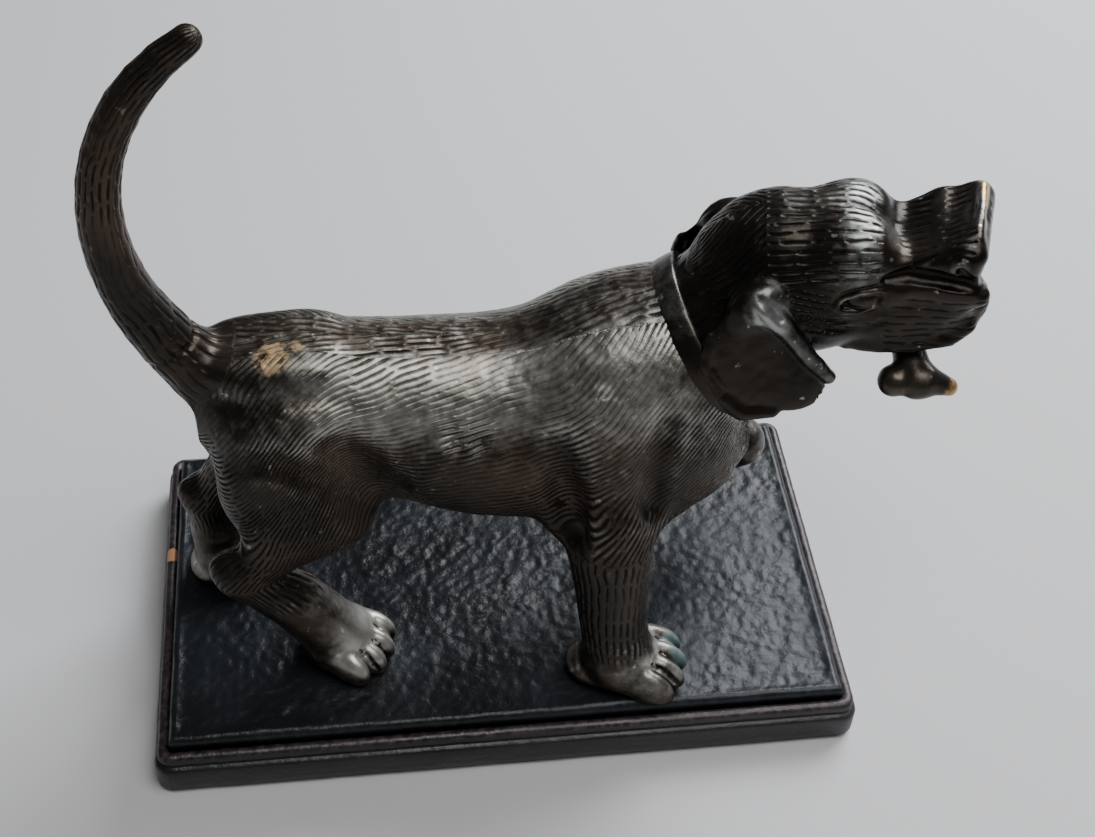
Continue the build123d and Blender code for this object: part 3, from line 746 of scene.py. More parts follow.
def split_labels(vertices, faces, volumes, bias):
    """Which volume each face belongs to: the nearest one, each kept as a single patch."""
    both, degree = neighbours(faces, len(vertices))
    values = np.stack([volume(vertices) - lean for volume, lean in zip(volumes, bias)], axis=1)
    values = smoothed(values, both, degree, 12)
    corners = values[faces].mean(axis=1)
    label = corners.argmin(axis=1)
    for number in range(1, len(volumes)):
        mine = label == number
        if not mine.any():
            continue
        on = np.zeros(len(vertices), bool)
        start = faces[mine][corners[mine][:, number].argmin()]
        on[start] = True
        inside = np.zeros(len(vertices), bool)
        inside[faces[mine].ravel()] = True
        while True:
            reach = on.copy()
            reach[both[on[both[:, 1]], 0]] = True
            reach &= inside
            if (reach == on).all():
                break
            on = reach
        label[mine & ~on[faces].all(axis=1)] = 0
    return label


def straightened(vertices, faces, label, field, rounds=8):
    """Evens out the zigzag where two castings meet."""
    edges = sides_of(faces)
    owner = np.tile(label, 4)
    order = np.lexsort((edges.max(axis=1), edges.min(axis=1)))
    edges, owner = np.sort(edges, axis=1)[order], owner[order]
    same = (edges[:-1] == edges[1:]).all(axis=1) & (owner[:-1] != owner[1:])
    seam = edges[:-1][same]
    if not len(seam):
        return vertices
    both = np.concatenate([seam, seam[:, ::-1]])
    degree = np.bincount(both[:, 0], minlength=len(vertices))
    line = np.flatnonzero(degree)
    for _ in range(rounds):
        sums = [np.bincount(both[:, 0], column[both[:, 1]], len(column)) for column in vertices.T]
        total = np.stack(sums, axis=1)
        vertices[line] = vertices[line] / 2 + total[line] / degree[line][:, None] / 2
    vertices[line], _ = settle(field, vertices[line], 1)
    return vertices


def capped(faces, vertices):
    """The piece's own vertices and faces, with each open rim closed by a fan to its middle."""
    used, local = np.unique(faces, return_inverse=True)
    local = local.reshape(faces.shape)
    points = vertices[used]
    edges = sides_of(local).astype(np.int64)
    key = edges[:, 0] * len(used) + edges[:, 1]
    back = edges[:, 1] * len(used) + edges[:, 0]
    rim = edges[~np.isin(key, back)]
    onward = {}
    for a, b in rim.tolist():
        onward.setdefault(b, []).append(a)
    extra, fans = [], []
    while onward:
        start = next(iter(onward))
        loop = [start]
        while True:
            following = onward[loop[-1]].pop()
            if not onward[loop[-1]]:
                del onward[loop[-1]]
            if following == start:
                break
            loop.append(following)
        middle = len(points) + len(extra)
        extra.append(points[loop].mean(axis=0))
        fans += [(a, b, middle) for a, b in zip(loop, loop[1:] + loop[:1])]
    if extra:
        points = np.concatenate([points, extra])
    return used, points, local, fans


# ---------------------------------------------------------------- engraved coat
BODY = ["torso", "near_foreleg", "raised_foreleg", "near_hind_leg", "far_hind_leg", "tail"]
NEAR_HIND, TAIL = BODY.index("near_hind_leg"), BODY.index("tail")
WRIST = place(45.5, 13.5, 21.5)
LIMB_ROWS, TAIL_ROWS = 29, 17  # strokes round a leg and round the tail
BODY_GROOVE, HEAD_GROOVE = 0.19, 0.14  # stroke depths
CLOSE_REACH, FAR_REACH, EDGE_REACH = 2.2, 6.0, 1.2  # how far hollows and edges are felt for


def around(points, path, rows):
    """Rows that run along a limb: how far round its middle line each point is, in rows."""
    path = np.array(path)
    order = np.argsort(path[:, 2])
    centre = [np.interp(points[:, 2], path[order, 2], path[order, i]) for i in (0, 1)]
    return rows * np.arctan2(points[:, 1] - centre[1], points[:, 0] - centre[0]) / (2 * math.pi)


def dashes(run, row, length, gap, seed):
    """Strength of broken strokes of about the given length along their rows."""
    number = np.floor(row + 0.5)
    share = run / length + hashed(number, seed)
    share = share - np.floor(share)
    edge = gap / length
    return smooth_step(0, edge, share) * smooth_step(0, edge, 1 - share)


def strongest(systems, blend):
    """Each point's row and stroke strength, from the (row, weight, strength) that weighs most there."""
    rows, weights, strengths = (np.stack(group, axis=1) for group in zip(*systems))
    order = np.argsort(weights, axis=1)
    best, second = order[:, -1], order[:, -2]
    here = np.arange(len(rows))
    lead = weights[here, best] - weights[here, second]
    return rows[here, best], strengths[here, best] * smooth_step(0.0, blend, lead)


def body_comb(points, label, limbs):
    """Row number and stroke strength for the body's coat."""
    x = points[:, 0] - BASE_X
    off = points[:, 1] - MIDDLE_Y
    height = points[:, 2] - GROUND_Z
    arc = 17.0 * np.arctan2(height - SPINE + 1.0, np.abs(off) + 0.4)
    stations = np.linspace(-50, 45, 96)
    angle = np.interp(stations, (-40, -25, -15, -5, 5, 12, 22, 40), (42, 35, 22, 13, 20, 35, 48, 52))
    rise = np.concatenate([[0], np.cumsum(np.tan(np.radians((angle[1:] + angle[:-1]) / 2)))])
    wander = 0.6 * lattice_noise(points, 9.0, 3) + 0.22 * lattice_noise(points, 3.0, 4)
    thigh = smooth_step(1.5, 0.35, np.hypot((x + 34) / 14.0, (height - 41) / 17.0))
    bend = 0.95 * (x + 34.0) * thigh
    systems = []
    row = (arc - np.interp(x, stations, rise) - bend) / 1.15
    systems.append((row, 0.95 + 0 * x, dashes(x + 0.4 * height, row + wander, 6.5, 0.8, 1)))
    row = np.sign(off) * (24.0 - arc + 0.12 * x) / 1.05
    half_band = 4.0 + 2.6 * smooth_step(-5, 25, x)
    weight = 1.6 * smooth_step(half_band + 0.6, half_band - 0.4, np.abs(off))
    weight *= smooth_step(SPINE + 6, SPINE + 9, height)
    systems.append((row, weight, dashes(x + 2.0 * np.sign(off), row + wander, 5.0, 1.0, 2)))
    systems.append((x / 1.3, 1.8 * smooth_step(37, 35, height) * smooth_step(20, 24, x), 1.0 + 0 * x))
    for number, (row_of, low, high) in limbs.items():
        row = row_of(points)
        weight = 2.4 * (label == number) * smooth_step(high + 3, high - 2, height)
        broken = dashes(height, row + wander, 4.2, 0.9, 5 + number)
        systems.append((row, weight, broken * smooth_step(low, low + 3, height)))
    row, strength = strongest(systems, 0.16)
    strength *= 0.35 + 0.65 * smooth_step(-0.45, 0.3, lattice_noise(points, 8.0, 9))
    beside = smooth_step(0.0, 1.0, np.abs(off) - half_band) * (height > 30)
    strength *= 1 - 0.5 * smooth_step(9.0, 14.0, arc) * beside
    strength *= smooth_step(7.0, 10.0, np.linalg.norm(points - WRIST, axis=1))
    return row + wander, strength


def head_comb(points, label):
    """Row number and stroke strength for the head's coat; the ears have none."""
    local = (points - SKULL) @ HEAD_AXES
    s, t, w = local.T
    arc = 11.0 * np.arctan2(t, w + 2.0)
    wander = 0.25 * lattice_noise(points, 5.0, 13) + 0.12 * lattice_noise(points, 2.0, 14)
    crown = arc / 1.25
    crown_weight = smooth_step(11.5, 9.0, s) * smooth_step(1.5, 4.5, w) * smooth_step(-8.0, -4.0, s)
    nape = (arc + 0.8 * np.sign(t) * (s + 5)) / 1.35
    nape_weight = 1.5 * smooth_step(-4, -8, s) * smooth_step(0, 3, w)
    cheek = (w * 0.94 + s * 0.34) / 1.05
    cheek_weight = smooth_step(3.5, 1.0, w) * smooth_step(-6.5, -4.5, w)
    cheek_weight *= 0.9 * smooth_step(11.0, 9.0, s) * smooth_step(-9, -6, s)
    neck = (points[:, 0] * 0.6 - points[:, 2] * 0.8) / 1.25
    bridge = t / 1.4
    bridge_weight = 1.3 * smooth_step(12.5, 13.5, s) * smooth_step(24.0, 23.5, s) * smooth_step(3.2, 3.8, w)
    number = np.floor(bridge + wander + 0.5)
    shifted = s + 1.8 * (hashed(number, 8) - 0.5)
    groups = smooth_step(13.4, 14.2, shifted) * smooth_step(17.8, 17.0, shifted)
    groups = np.maximum(groups, smooth_step(19.4, 20.2, shifted) * smooth_step(23.4, 22.6, shifted))
    lip = (w + 0.06 * s) / 1.5
    lip_weight = 1.1 * smooth_step(10.5, 12.5, s) * smooth_step(0.0, -1.5, w)
    systems = [
        (crown, crown_weight, dashes(s, crown + wander, 4.6, 0.9, 21)),
        (nape, nape_weight, dashes(s, nape + wander, 4.0, 0.9, 22)),
        (cheek, cheek_weight, 0.8 * dashes(s - 0.6 * w, cheek + wander, 1.5, 0.4, 23)),
        (neck, 0.85 * smooth_step(-6, -9, s), dashes(points[:, 2], neck + wander, 4.0, 0.8, 24)),
        (bridge, bridge_weight, 1.6 * groups * (0.5 + 0.5 * hashed(number, 7))),
        (lip, lip_weight, 0.5 * dashes(s, lip + wander, 5.0, 1.2, 25)),
    ]
    row, strength = strongest(systems, 0.5)
    eye = np.min([np.linalg.norm(local - [7.6, side * 8.8, -0.6], axis=1) for side in SIDES], axis=0)
    return row + wander, strength * smooth_step(4.2, 5.6, eye) * (label == 0)


def groove_of(row):
    """How deep in a groove each point is, from 0 on a ridge to 1 at the bottom."""
    share = np.abs(row - np.floor(row) - 0.5) * 2
    return smooth_step(0.5, 1.0, share)


def pressed(field, points, normals, row, strength, depth):
    """Cuts the grooves into the surface and adds small dents; gives the painted shade of hollows and the edge
    values too.
    """
    dents = 0.10 * np.maximum(0, lattice_noise(points, 3.2, 31)) + 0.05 * lattice_noise(points, 1.3, 32) + 0.05
    amount = depth * strength * groove_of(row) + dents
    # Painted shade: the more the surface closes in round a point, the darker it is painted.
    close, far = (1 - field(points + reach * normals) / reach for reach in (CLOSE_REACH, FAR_REACH))
    hollow_shade = np.clip(0.6 * close + 0.6 * far, 0, 1)
    edge = 1 + field(points - EDGE_REACH * normals) / EDGE_REACH
    return points - amount[:, None] * normals, hollow_shade, np.clip(edge, 0, 1)


def set_values(mesh, values):
    """Numbers at the vertices that the materials read; vertices past a column's end stay at 0."""
    for key, column in values.items():
        filled = np.zeros(len(mesh.vertices), np.float32)
        filled[: len(column) if np.ndim(column) else len(filled)] = column
        mesh.attributes.new(key, "FLOAT", "POINT").data.foreach_set("value", filled)


def linked(name, mesh):
    """A new object in the scene, smooth shaded."""
    mesh.polygons.foreach_set("use_smooth", [True] * len(mesh.polygons))
    piece = bpy.data.objects.new(name, mesh)
    bpy.context.scene.collection.objects.link(piece)
    return piece


def castings(names, vertices, faces, label, values):
    """One object for each casting, sharing the joined surface's normals."""
    whole = mesh_from("whole", vertices, faces)
    normals = np.empty(len(vertices) * 3, np.float32)
    whole.vertices.foreach_get("normal", normals)
    normals = normals.reshape(-1, 3)
    bpy.data.meshes.remove(whole)
    made = {}
    for number, name in enumerate(names):
        used, points, local, fans = capped(faces[label == number], vertices)
        mesh = mesh_from(name + "_casting", points, local.tolist() + fans)
        made[name] = linked(name + "_casting", mesh)
        own = np.concatenate([normals[used], np.tile([[0, 0, 1.0]], (len(points) - len(used), 1))])
        mesh.normals_split_custom_set_from_vertices(own.tolist())
        set_values(mesh, {key: column[used] for key, column in values.items()})
    return made


# ---------------------------------------------------------------- materials
class Shades:
    """A node tree's small building blocks."""

    def __init__(self, name):
        self.material = bpy.data.materials.new(name)
        self.material.use_nodes = True
        self.tree = self.material.node_tree
        self.surface = self.tree.nodes["Principled BSDF"]
        self.place = self.tree.nodes.new("ShaderNodeNewGeometry").outputs["Position"]

    def feed(self, socket, value):
        if isinstance(value, (int, float)):
            socket.default_value = value
        elif isinstance(value, tuple):
            socket.default_value = (*value, 1.0)[: len(socket.default_value)]
        else:
            self.tree.links.new(value, socket)

    def math(self, operation, *values, clamp=False):
        node = self.tree.nodes.new("ShaderNodeMath")
        node.operation = operation
        node.use_clamp = clamp
        for socket, value in zip(node.inputs, values):
            self.feed(socket, value)
        return node.outputs[0]

    def plus(self, a, b):
        return self.math("ADD", a, b)

    def minus(self, a, b):
        return self.math("SUBTRACT", a, b)

    def times(self, a, b):
        return self.math("MULTIPLY", a, b)

    def speckled(self, value, noise, amount):
        """A value made uneven by noise that lies about a half."""
        return self.plus(value, self.times(self.minus(noise, 0.5), amount))

    def ramp(self, value, low, high):
        node = self.tree.nodes.new("ShaderNodeMapRange")
        node.interpolation_type = "SMOOTHSTEP"
        self.feed(node.inputs["Value"], value)
        node.inputs["From Min"].default_value = low
        node.inputs["From Max"].default_value = high
        return node.outputs["Result"]

    def mix(self, share, a, b):
        node = self.tree.nodes.new("ShaderNodeMix")
        node.data_type = "RGBA"
        self.feed(node.inputs["Factor"], share)
        self.feed(node.inputs[6], a)
        self.feed(node.inputs[7], b)
        return node.outputs[2]

    def noise(self, scale, detail=3.0, roughness=0.55):
        node = self.tree.nodes.new("ShaderNodeTexNoise")
        self.feed(node.inputs["Vector"], self.place)
        node.inputs["Scale"].default_value = scale
        node.inputs["Detail"].default_value = detail
        node.inputs["Roughness"].default_value = roughness
        return node.outputs[0]

    def cells(self, scale):
        node = self.tree.nodes.new("ShaderNodeTexVoronoi")
        self.feed(node.inputs["Vector"], self.place)
        node.inputs["Scale"].default_value = scale
        return node.outputs[0]

    def value(self, name):
        node = self.tree.nodes.new("ShaderNodeAttribute")
        node.attribute_name = name
        return node.outputs["Fac"]

    def bump(self, height, distance, strength=1.0):
        node = self.tree.nodes.new("ShaderNodeBump")
        self.feed(node.inputs["Height"], height)
        node.inputs["Distance"].default_value = distance
        node.inputs["Strength"].default_value = strength
        self.feed(self.surface.inputs["Normal"], node.outputs[0])

    def finish(self, colour, roughness, metallic, specular=0.5):
        self.feed(self.surface.inputs["Base Color"], colour)
        self.feed(self.surface.inputs["Roughness"], roughness)
        self.feed(self.surface.inputs["Metallic"], metallic)
        self.surface.inputs["Specular IOR Level"].default_value = specular
        return self.material


GOLD, VERDIGRIS, SAND = (0.55, 0.36, 0.15), (0.06, 0.14, 0.14), (0.42, 0.28, 0.14)
# The first colour below darkens the strokes as patina and the hollows as painted shade.
DIRT_AND_SHADE, BARE_EDGE = (0.012, 0.010, 0.009), (0.48, 0.22, 0.10)


def bronze(name, dark, brown, worn, wear_and_sheen, gloss, cut=0.55, flecks=0.4):
    """Cast bronze: a brown-black patina rubbed to bare metal on high places, dark in the strokes, with painted
    shade in hollows, a painted sheen and painted glints on the ridges between strokes.
    """
    sh = Shades(name)
    row, comb = sh.value("row"), sh.value("comb")
    share = sh.math("ABSOLUTE", sh.minus(sh.minus(row, sh.math("FLOOR", row)), 0.5))
    share = sh.times(share, 2.0)
    groove = sh.times(sh.ramp(share, cut, 1.0), comb)
    ridge = sh.times(sh.ramp(share, 0.6, 0.2), comb)
    hollow_shade = sh.value("hollow_shade")
    broad, fine, grain = sh.noise(60.0, 4.0), sh.noise(420.0, 5.0, 0.65), sh.noise(1500.0, 3.0, 0.6)
    # The rub mixes in the bare metal colour: wear on high places and edges, the painted sheen carried in the
    # wear values, and a painted glint on the ridges between strokes; the painted shade of hollows takes it
    # away.
    rub = sh.plus(sh.value("wear_and_sheen"), sh.times(sh.minus(sh.value("edge"), 0.25), 0.9))
    rub = sh.speckled(rub, fine, 1.1)
    rub = sh.plus(rub, sh.times(ridge, 0.28))
    rub = sh.minus(rub, sh.times(hollow_shade, 0.9))
    rub = sh.plus(rub, sh.times(sh.ramp(sh.noise(520.0, 2.0), 0.66, 0.74), flecks))
    rub = sh.math("MULTIPLY", sh.ramp(rub, 0.1, 1.25), wear_and_sheen, clamp=True)
    colour = sh.mix(rub, sh.mix(sh.ramp(broad, 0.36, 0.66), dark, brown), worn)
    gold = sh.ramp(sh.speckled(sh.value("gold"), fine, 0.9), 0.35, 0.8)
    green = sh.ramp(sh.speckled(sh.value("green"), fine, 1.2), 0.3, 0.8)
    sand = sh.ramp(sh.speckled(sh.value("sand"), fine, 1.6), 0.35, 0.7)
    colour = sh.mix(gold, colour, GOLD)
    colour = sh.mix(sh.times(green, 0.6), colour, VERDIGRIS)
    colour = sh.mix(sh.times(sand, 0.8), colour, SAND)
    # Dark patina in the strokes and painted shade in the hollows.
    deep = sh.math("MAXIMUM", groove, sh.ramp(hollow_shade, 0.25, 0.85))
    colour = sh.mix(sh.times(deep, 0.82), colour, DIRT_AND_SHADE)
    sh.bump(sh.plus(sh.minus(sh.times(grain, 0.22), groove), sh.times(fine, 0.35)), 0.00016, 0.9)
    rough = sh.plus(sh.speckled(sh.times(groove, 0.25), fine, 0.35), gloss)
    metal = sh.minus(0.85, sh.times(sh.math("MAXIMUM", sand, green), 0.6))
    return sh.finish(colour, rough, metal)


def enamel(name, base, sheen, rub_colour, gloss, worn, specular=0.5):
    """Black enamelled iron, rubbed along its edges."""
    sh = Shades(name)
    broad, fine = sh.noise(45.0, 4.0), sh.noise(700.0, 4.0, 0.6)
    colour = sh.mix(sh.ramp(broad, 0.35, 0.7), base, sheen)
    rub = sh.ramp(sh.speckled(sh.value("edge"), fine, 1.6), 0.62, 1.0)
    colour = sh.mix(sh.times(rub, worn), colour, rub_colour)
    chip = sh.ramp(sh.speckled(sh.value("chip"), fine, 0.7), 0.4, 0.6)
    colour = sh.mix(chip, colour, BARE_EDGE)
    sh.bump(sh.plus(fine, sh.times(sh.noise(230.0), 1.4)), 0.00018, 0.8)
    return sh.finish(colour, sh.speckled(gloss, broad, 0.5), 0.1, specular)


def plain_metal(name, base, stain, gloss):
    """Hidden fixings: turned metal with a little dirt."""
    sh = Shades(name)
    colour = sh.mix(sh.ramp(sh.noise(300.0, 4.0), 0.4, 0.7), base, stain)
    sh.bump(sh.noise(1800.0, 3.0), 0.00004, 0.6)
    return sh.finish(colour, sh.plus(sh.times(sh.noise(500.0), 0.2), gloss), 0.95)


def felt_cloth():
    sh = Shades("pressed felt")
    fibre = sh.noise(2600.0, 6.0, 0.75)
    colour = sh.mix(fibre, (0.012, 0.035, 0.020), (0.035, 0.085, 0.050))
    sh.bump(sh.plus(fibre, sh.cells(1600.0)), 0.0002, 0.8)
    return sh.finish(colour, 0.95, 0.0, 0.2)


# ---------------------------------------------------------------- base
def ring_points(half_length, half_width, corner, spacing=0.7):
    """Points round a rounded rectangle, with their outward directions, the same for every inset."""
    along = int(2 * (half_length - corner) / spacing)
    across = int(2 * (half_width - corner) / spacing)
    arc = 7  # steps round each corner
    points, outward = [], []
    centres = ((1, 1, 0), (-1, 1, 90), (-1, -1, 180), (1, -1, 270))
    for number, (sx, sy, start) in enumerate(centres):
        for step in range(arc + 1):
            angle = math.radians(start + 90.0 * step / arc)
            way = (math.cos(angle), math.sin(angle))
            points.append((sx * (half_length - corner), sy * (half_width - corner)))
            outward.append(way)
        nx, ny = centres[(number + 1) % 4][:2]
        count = along if number % 2 == 0 else across
        for step in range(1, count):
            share = step / count
            fx, fy = sx * (1 - share) + nx * share, sy * (1 - share) + ny * share
            points.append((fx * (half_length - corner), fy * (half_width - corner)))
            outward.append(way)
    return np.array(points), np.array(outward)


def swept(name, half_length, half_width, corner, profile, dent):
    """A moulded block: a profile of (inset, height) carried round a rounded rectangle and closed."""
    spine, outward = ring_points(half_length, half_width, corner)
    count = len(spine)
    rings = []
    for inset, height in profile:
        ring = spine + outward * (corner - inset)
        if inset > corner:
            ring = spine - np.sign(spine) * (inset - corner)
        rings.append(np.column_stack([ring, np.full(count, height)]))
    points = np.concatenate(rings)
    centre = (PLINTH_LOW + PLINTH_HIGH) / 2
    points[:, :2] += centre[:2]
    inward = np.concatenate([-np.column_stack([outward, np.zeros(count)])] * len(profile))
    lumps = 0.5 + 0.5 * lattice_noise(points, 6.0, 41) + 0.35 * lattice_noise(points, 1.7, 42)
    points += inward * (dent * np.clip(lumps, 0, 1.4))[:, None]
    points[:, 2] -= 0.4 * dent * np.clip(lumps, 0, 1.4) * (points[:, 2] > profile[0][1] + 1.0)
    index = np.arange(count)
    quads = []
    for level in range(len(profile) - 1):
        a, b = level * count + index, level * count + np.roll(index, -1)
        quads.append(np.stack([a, b, b + count, a + count], axis=1))
    quads = np.concatenate(quads).tolist()
    first = list(reversed(range(count)))
    last = list(range((len(profile) - 1) * count, len(profile) * count))
    return mesh_from(name, points, quads + [first, last]), points


def make_plinth():
    half = (PLINTH_HIGH - PLINTH_LOW) / 2
    low, high = PLINTH_LOW[2], PLINTH_HIGH[2]
    rebate = PLATE_LOW[2]
    margin = half[0] - (PLATE_HIGH[0] - PLATE_LOW[0]) / 2
    step = high - 2.6
    profile = [(margin + 0.1, low + 0.5), (margin, low + 0.4), (margin - 0.1, low), (0.9, low)]
    profile += [(0.35, low + 0.15), (0.0, low + 0.7), (0.0, low + 2.0), (0.0, low + 3.2), (0.0, step - 1.0)]
    profile += [(0.12, step - 0.5), (0.45, step - 0.1), (0.9, step + 0.05), (1.15, step + 0.2)]
    profile += [(0.95, step + 0.45), (0.75, step + 0.8), (0.7, high - 1.2), (0.82, high - 0.6)]
    profile += [(1.15, high - 0.2), (1.7, high), (2.2, high - 0.1), (2.6, high - 0.45)]
    profile += [(margin - 0.1, high - 1.0), (margin - 0.1, rebate), (margin + 2.0, rebate)]
    mesh, points = swept("plinth_moulding", half[0], half[1], 3.2, profile, 0.09)
    edge = np.zeros(len(points))
    count = len(points) // len(profile)
    for number, (inset, height) in enumerate(profile):
        near_top = abs(height - high) < 0.65
        near_step = abs(height - step) < 0.6 and inset < 1.0
        edge[number * count : (number + 1) * count] = 0.75 if near_top else 0.5 if near_step else 0.1
    spot = np.array([PLINTH_LOW[0] + 1.6, MIDDLE_Y + 16.0, high])
    chip = smooth_step(2.4, 0.6, np.linalg.norm(points - spot, axis=1))
    set_values(mesh, {"edge": edge, "chip": chip})
    return linked("plinth_moulding", mesh)


def make_ground():
    """The stippled ground plate: pebbled, broadly uneven, and flat only under the feet."""
    size = PLATE_HIGH - PLATE_LOW
    step = 0.42
    nx, ny = int(size[0] / step), int(size[1] / step)
    xs, ys = np.linspace(0, 1, nx + 1), np.linspace(0, 1, ny + 1)
    gx, gy = np.meshgrid(xs, ys, indexing="ij")
    x = PLATE_LOW[0] + gx.ravel() * size[0]
    y = PLATE_LOW[1] + gy.ravel() * size[1]
    points = np.column_stack([x, y, np.full(len(x), PLATE_HIGH[2])])
    flat_points = np.column_stack([x, y, 0 * x])
    pebble = 0.4 * lattice_noise(flat_points, 1.8, 51) + 0.65 * lattice_noise(flat_points, 0.95, 52)
    broad = lattice_noise(flat_points, 17.0, 53) + 0.5 * lattice_noise(flat_points, 8.0, 54)
    drop = 0.42 - 0.17 * pebble - 0.24 * broad
    feet = (NEAR_FORE_FOOT, NEAR_HIND_FOOT, FAR_HIND_FOOT)
    near = np.min([np.hypot(x - f[0], y - f[1]) for f in feet], axis=0)
    drop *= smooth_step(5.0, 11.0, near)
    rim = np.minimum.reduce([x - PLATE_LOW[0], PLATE_HIGH[0] - x, y - PLATE_LOW[1], PLATE_HIGH[1] - y])
    wander = 0.5 + 0.5 * lattice_noise(flat_points, 4.0, 55)
    drop = np.clip(drop, 0, 1.0) * smooth_step(0.0, 2.6, rim) + 0.08
    drop += (0.55 + 0.4 * wander) * smooth_step(1.0, 0.0, rim) ** 1.5
    points[:, 2] -= drop
    grid = np.arange(len(points)).reshape(nx + 1, ny + 1)
    quads = np.stack([grid[:-1, :-1], grid[1:, :-1], grid[1:, 1:], grid[:-1, 1:]], axis=-1)
    quads = quads.reshape(-1, 4).tolist()
    rim_loop = np.concatenate([grid[:, 0], grid[-1, 1:], grid[-2::-1, -1], grid[0, -2:0:-1]]).tolist()
    count = len(points)
    lower = points[rim_loop].copy()
    lower[:, 2] = PLATE_LOW[2]
    points = np.concatenate([points, lower])
    total = len(rim_loop)
    for number in range(total):
        after = (number + 1) % total
        quads.append([rim_loop[after], rim_loop[number], count + number, count + after])
    quads.append([count + number for number in reversed(range(total))])
    mesh = mesh_from("ground_stipple", points, quads)
    piece = linked("ground_stipple", mesh)
    mesh.polygons[-1].use_smooth = False
    edge = np.clip(0.45 + 0.35 * pebble, 0, 1) + 0.3 * smooth_step(1.6, 0.3, rim)
    set_values(mesh, {"edge": np.concatenate([edge, np.full(total, 0.4)]), "chip": 0.0})
    return piece


BARE = {"row": 0.5, **dict.fromkeys(("comb", "hollow_shade", "edge", "wear_and_sheen", "gold", "green", "sand"), 0.0)}


def make_collar():
    """A rolled band with a scalloped front edge, carried round the joint of neck and head."""
    around_count, section = 200, 18
    half_width, middle_radius = 2.15, 12.95
    points = []
    for step in range(around_count):
        angle = 2 * math.pi * step / around_count
        out = NECK_AXES @ np.array([0.0, math.cos(angle), math.sin(angle)])
        twist = 0.5 + 0.5 * math.cos(26 * angle)
        for part in range(section):
            turn = 2 * math.pi * part / section
            along, rise = half_width * math.cos(turn), 0.62 * math.sin(turn)
            lip = max(0.0, along / half_width)
            rise += (0.25 + 0.12 * twist) * lip * (1 if rise > 0 else 0) - 0.15 * twist * lip
            along = math.copysign(abs(along) ** 0.8 * half_width**0.2, along)
            points.append(NECK + NECK_AXES[:, 0] * along + out * (middle_radius + min(rise, 0.7)))
    points = np.array(points)
    index = np.arange(around_count * section).reshape(around_count, section)
    a, b = index, np.roll(index, -1, axis=0)
    quads = np.stack([a, np.roll(a, -1, axis=1), np.roll(b, -1, axis=1), b], axis=-1).reshape(-1, 4)
    mesh = mesh_from("collar_roll", points, quads)
    # A steady painted shade over the whole band, and the band made lighter towards the top.
    wear_and_sheen = 0.05 + 0.6 * smooth_step(NECK[2] + 4, NECK[2] + 12, points[:, 2])
    set_values(mesh, {**BARE, "hollow_shade": 0.3, "edge": 0.3, "wear_and_sheen": wear_and_sheen})
    return linked("collar_roll", mesh)


# ---------------------------------------------------------------- building the pieces
def patches(points, spots):
    """Soft round patches given as (centre, radius)."""
    total = np.zeros(len(points))
    for centre, radius in spots:
        total = np.maximum(total, smooth_step(radius, radius * 0.35, np.linalg.norm(points - centre, axis=1)))
    return total


def melted(field, low, high, step, volumes, lean):
    """Castings that melt into each other, as one mesh, and which of them owns each face and vertex."""
    points, quads, normals = sculpt(field, low, high, step)
    label = split_labels(points, quads, volumes, lean)
    points = straightened(points, quads, label, field)
    owner = np.zeros(len(points), int)
    for number in range(len(volumes)):
        owner[quads[label == number].ravel()] = number
    return points, quads, normals, label, owner


def tail_row(where):
    """Rows that run along the tail."""
    angle = np.arctan2(where[:, 2] - TAIL_HUB[2], where[:, 0] - TAIL_HUB[0])
    reach = np.hypot(where[:, 2] - TAIL_HUB[2], where[:, 0] - TAIL_HUB[0])
    angle = np.where(angle < 0, angle + 2 * math.pi, angle)
    share = (math.radians(TAIL_ANGLES[0]) - angle) / math.radians(TAIL_ANGLES[0] - TAIL_ANGLES[1])
    middle = tail_reach(np.clip(share, 0, 1))
    return TAIL_ROWS * np.arctan2(where[:, 1] - MIDDLE_Y, reach - middle) / (2 * math.pi)


LIMB_COATS = {
    "near_foreleg": (8, 31, [(17.0, -13.6, 40), (17.0, -17.0, 22), (18.4, -18.8, 8), (20.5, -19.3, 0)]),
    "raised_foreleg": (12, 31, [(22.5, 12.0, 40), (35.0, 13.2, 26.5), (44.0, 13.5, 16), (40.0, 14.0, 8)]),
    "near_hind_leg": (17, 28, [(-29.0, -9.5, 40), (-42.5, -11.0, 23.8), (-28.0, -10.8, 6), (-26.8, -10.6, 0)]),
    "far_hind_leg": (12, 28, [(-36.0, 9.5, 40), (-49.0, 11.0, 18.5), (-47.0, 11.0, 6), (-46.0, 11.0, 0)]),
}


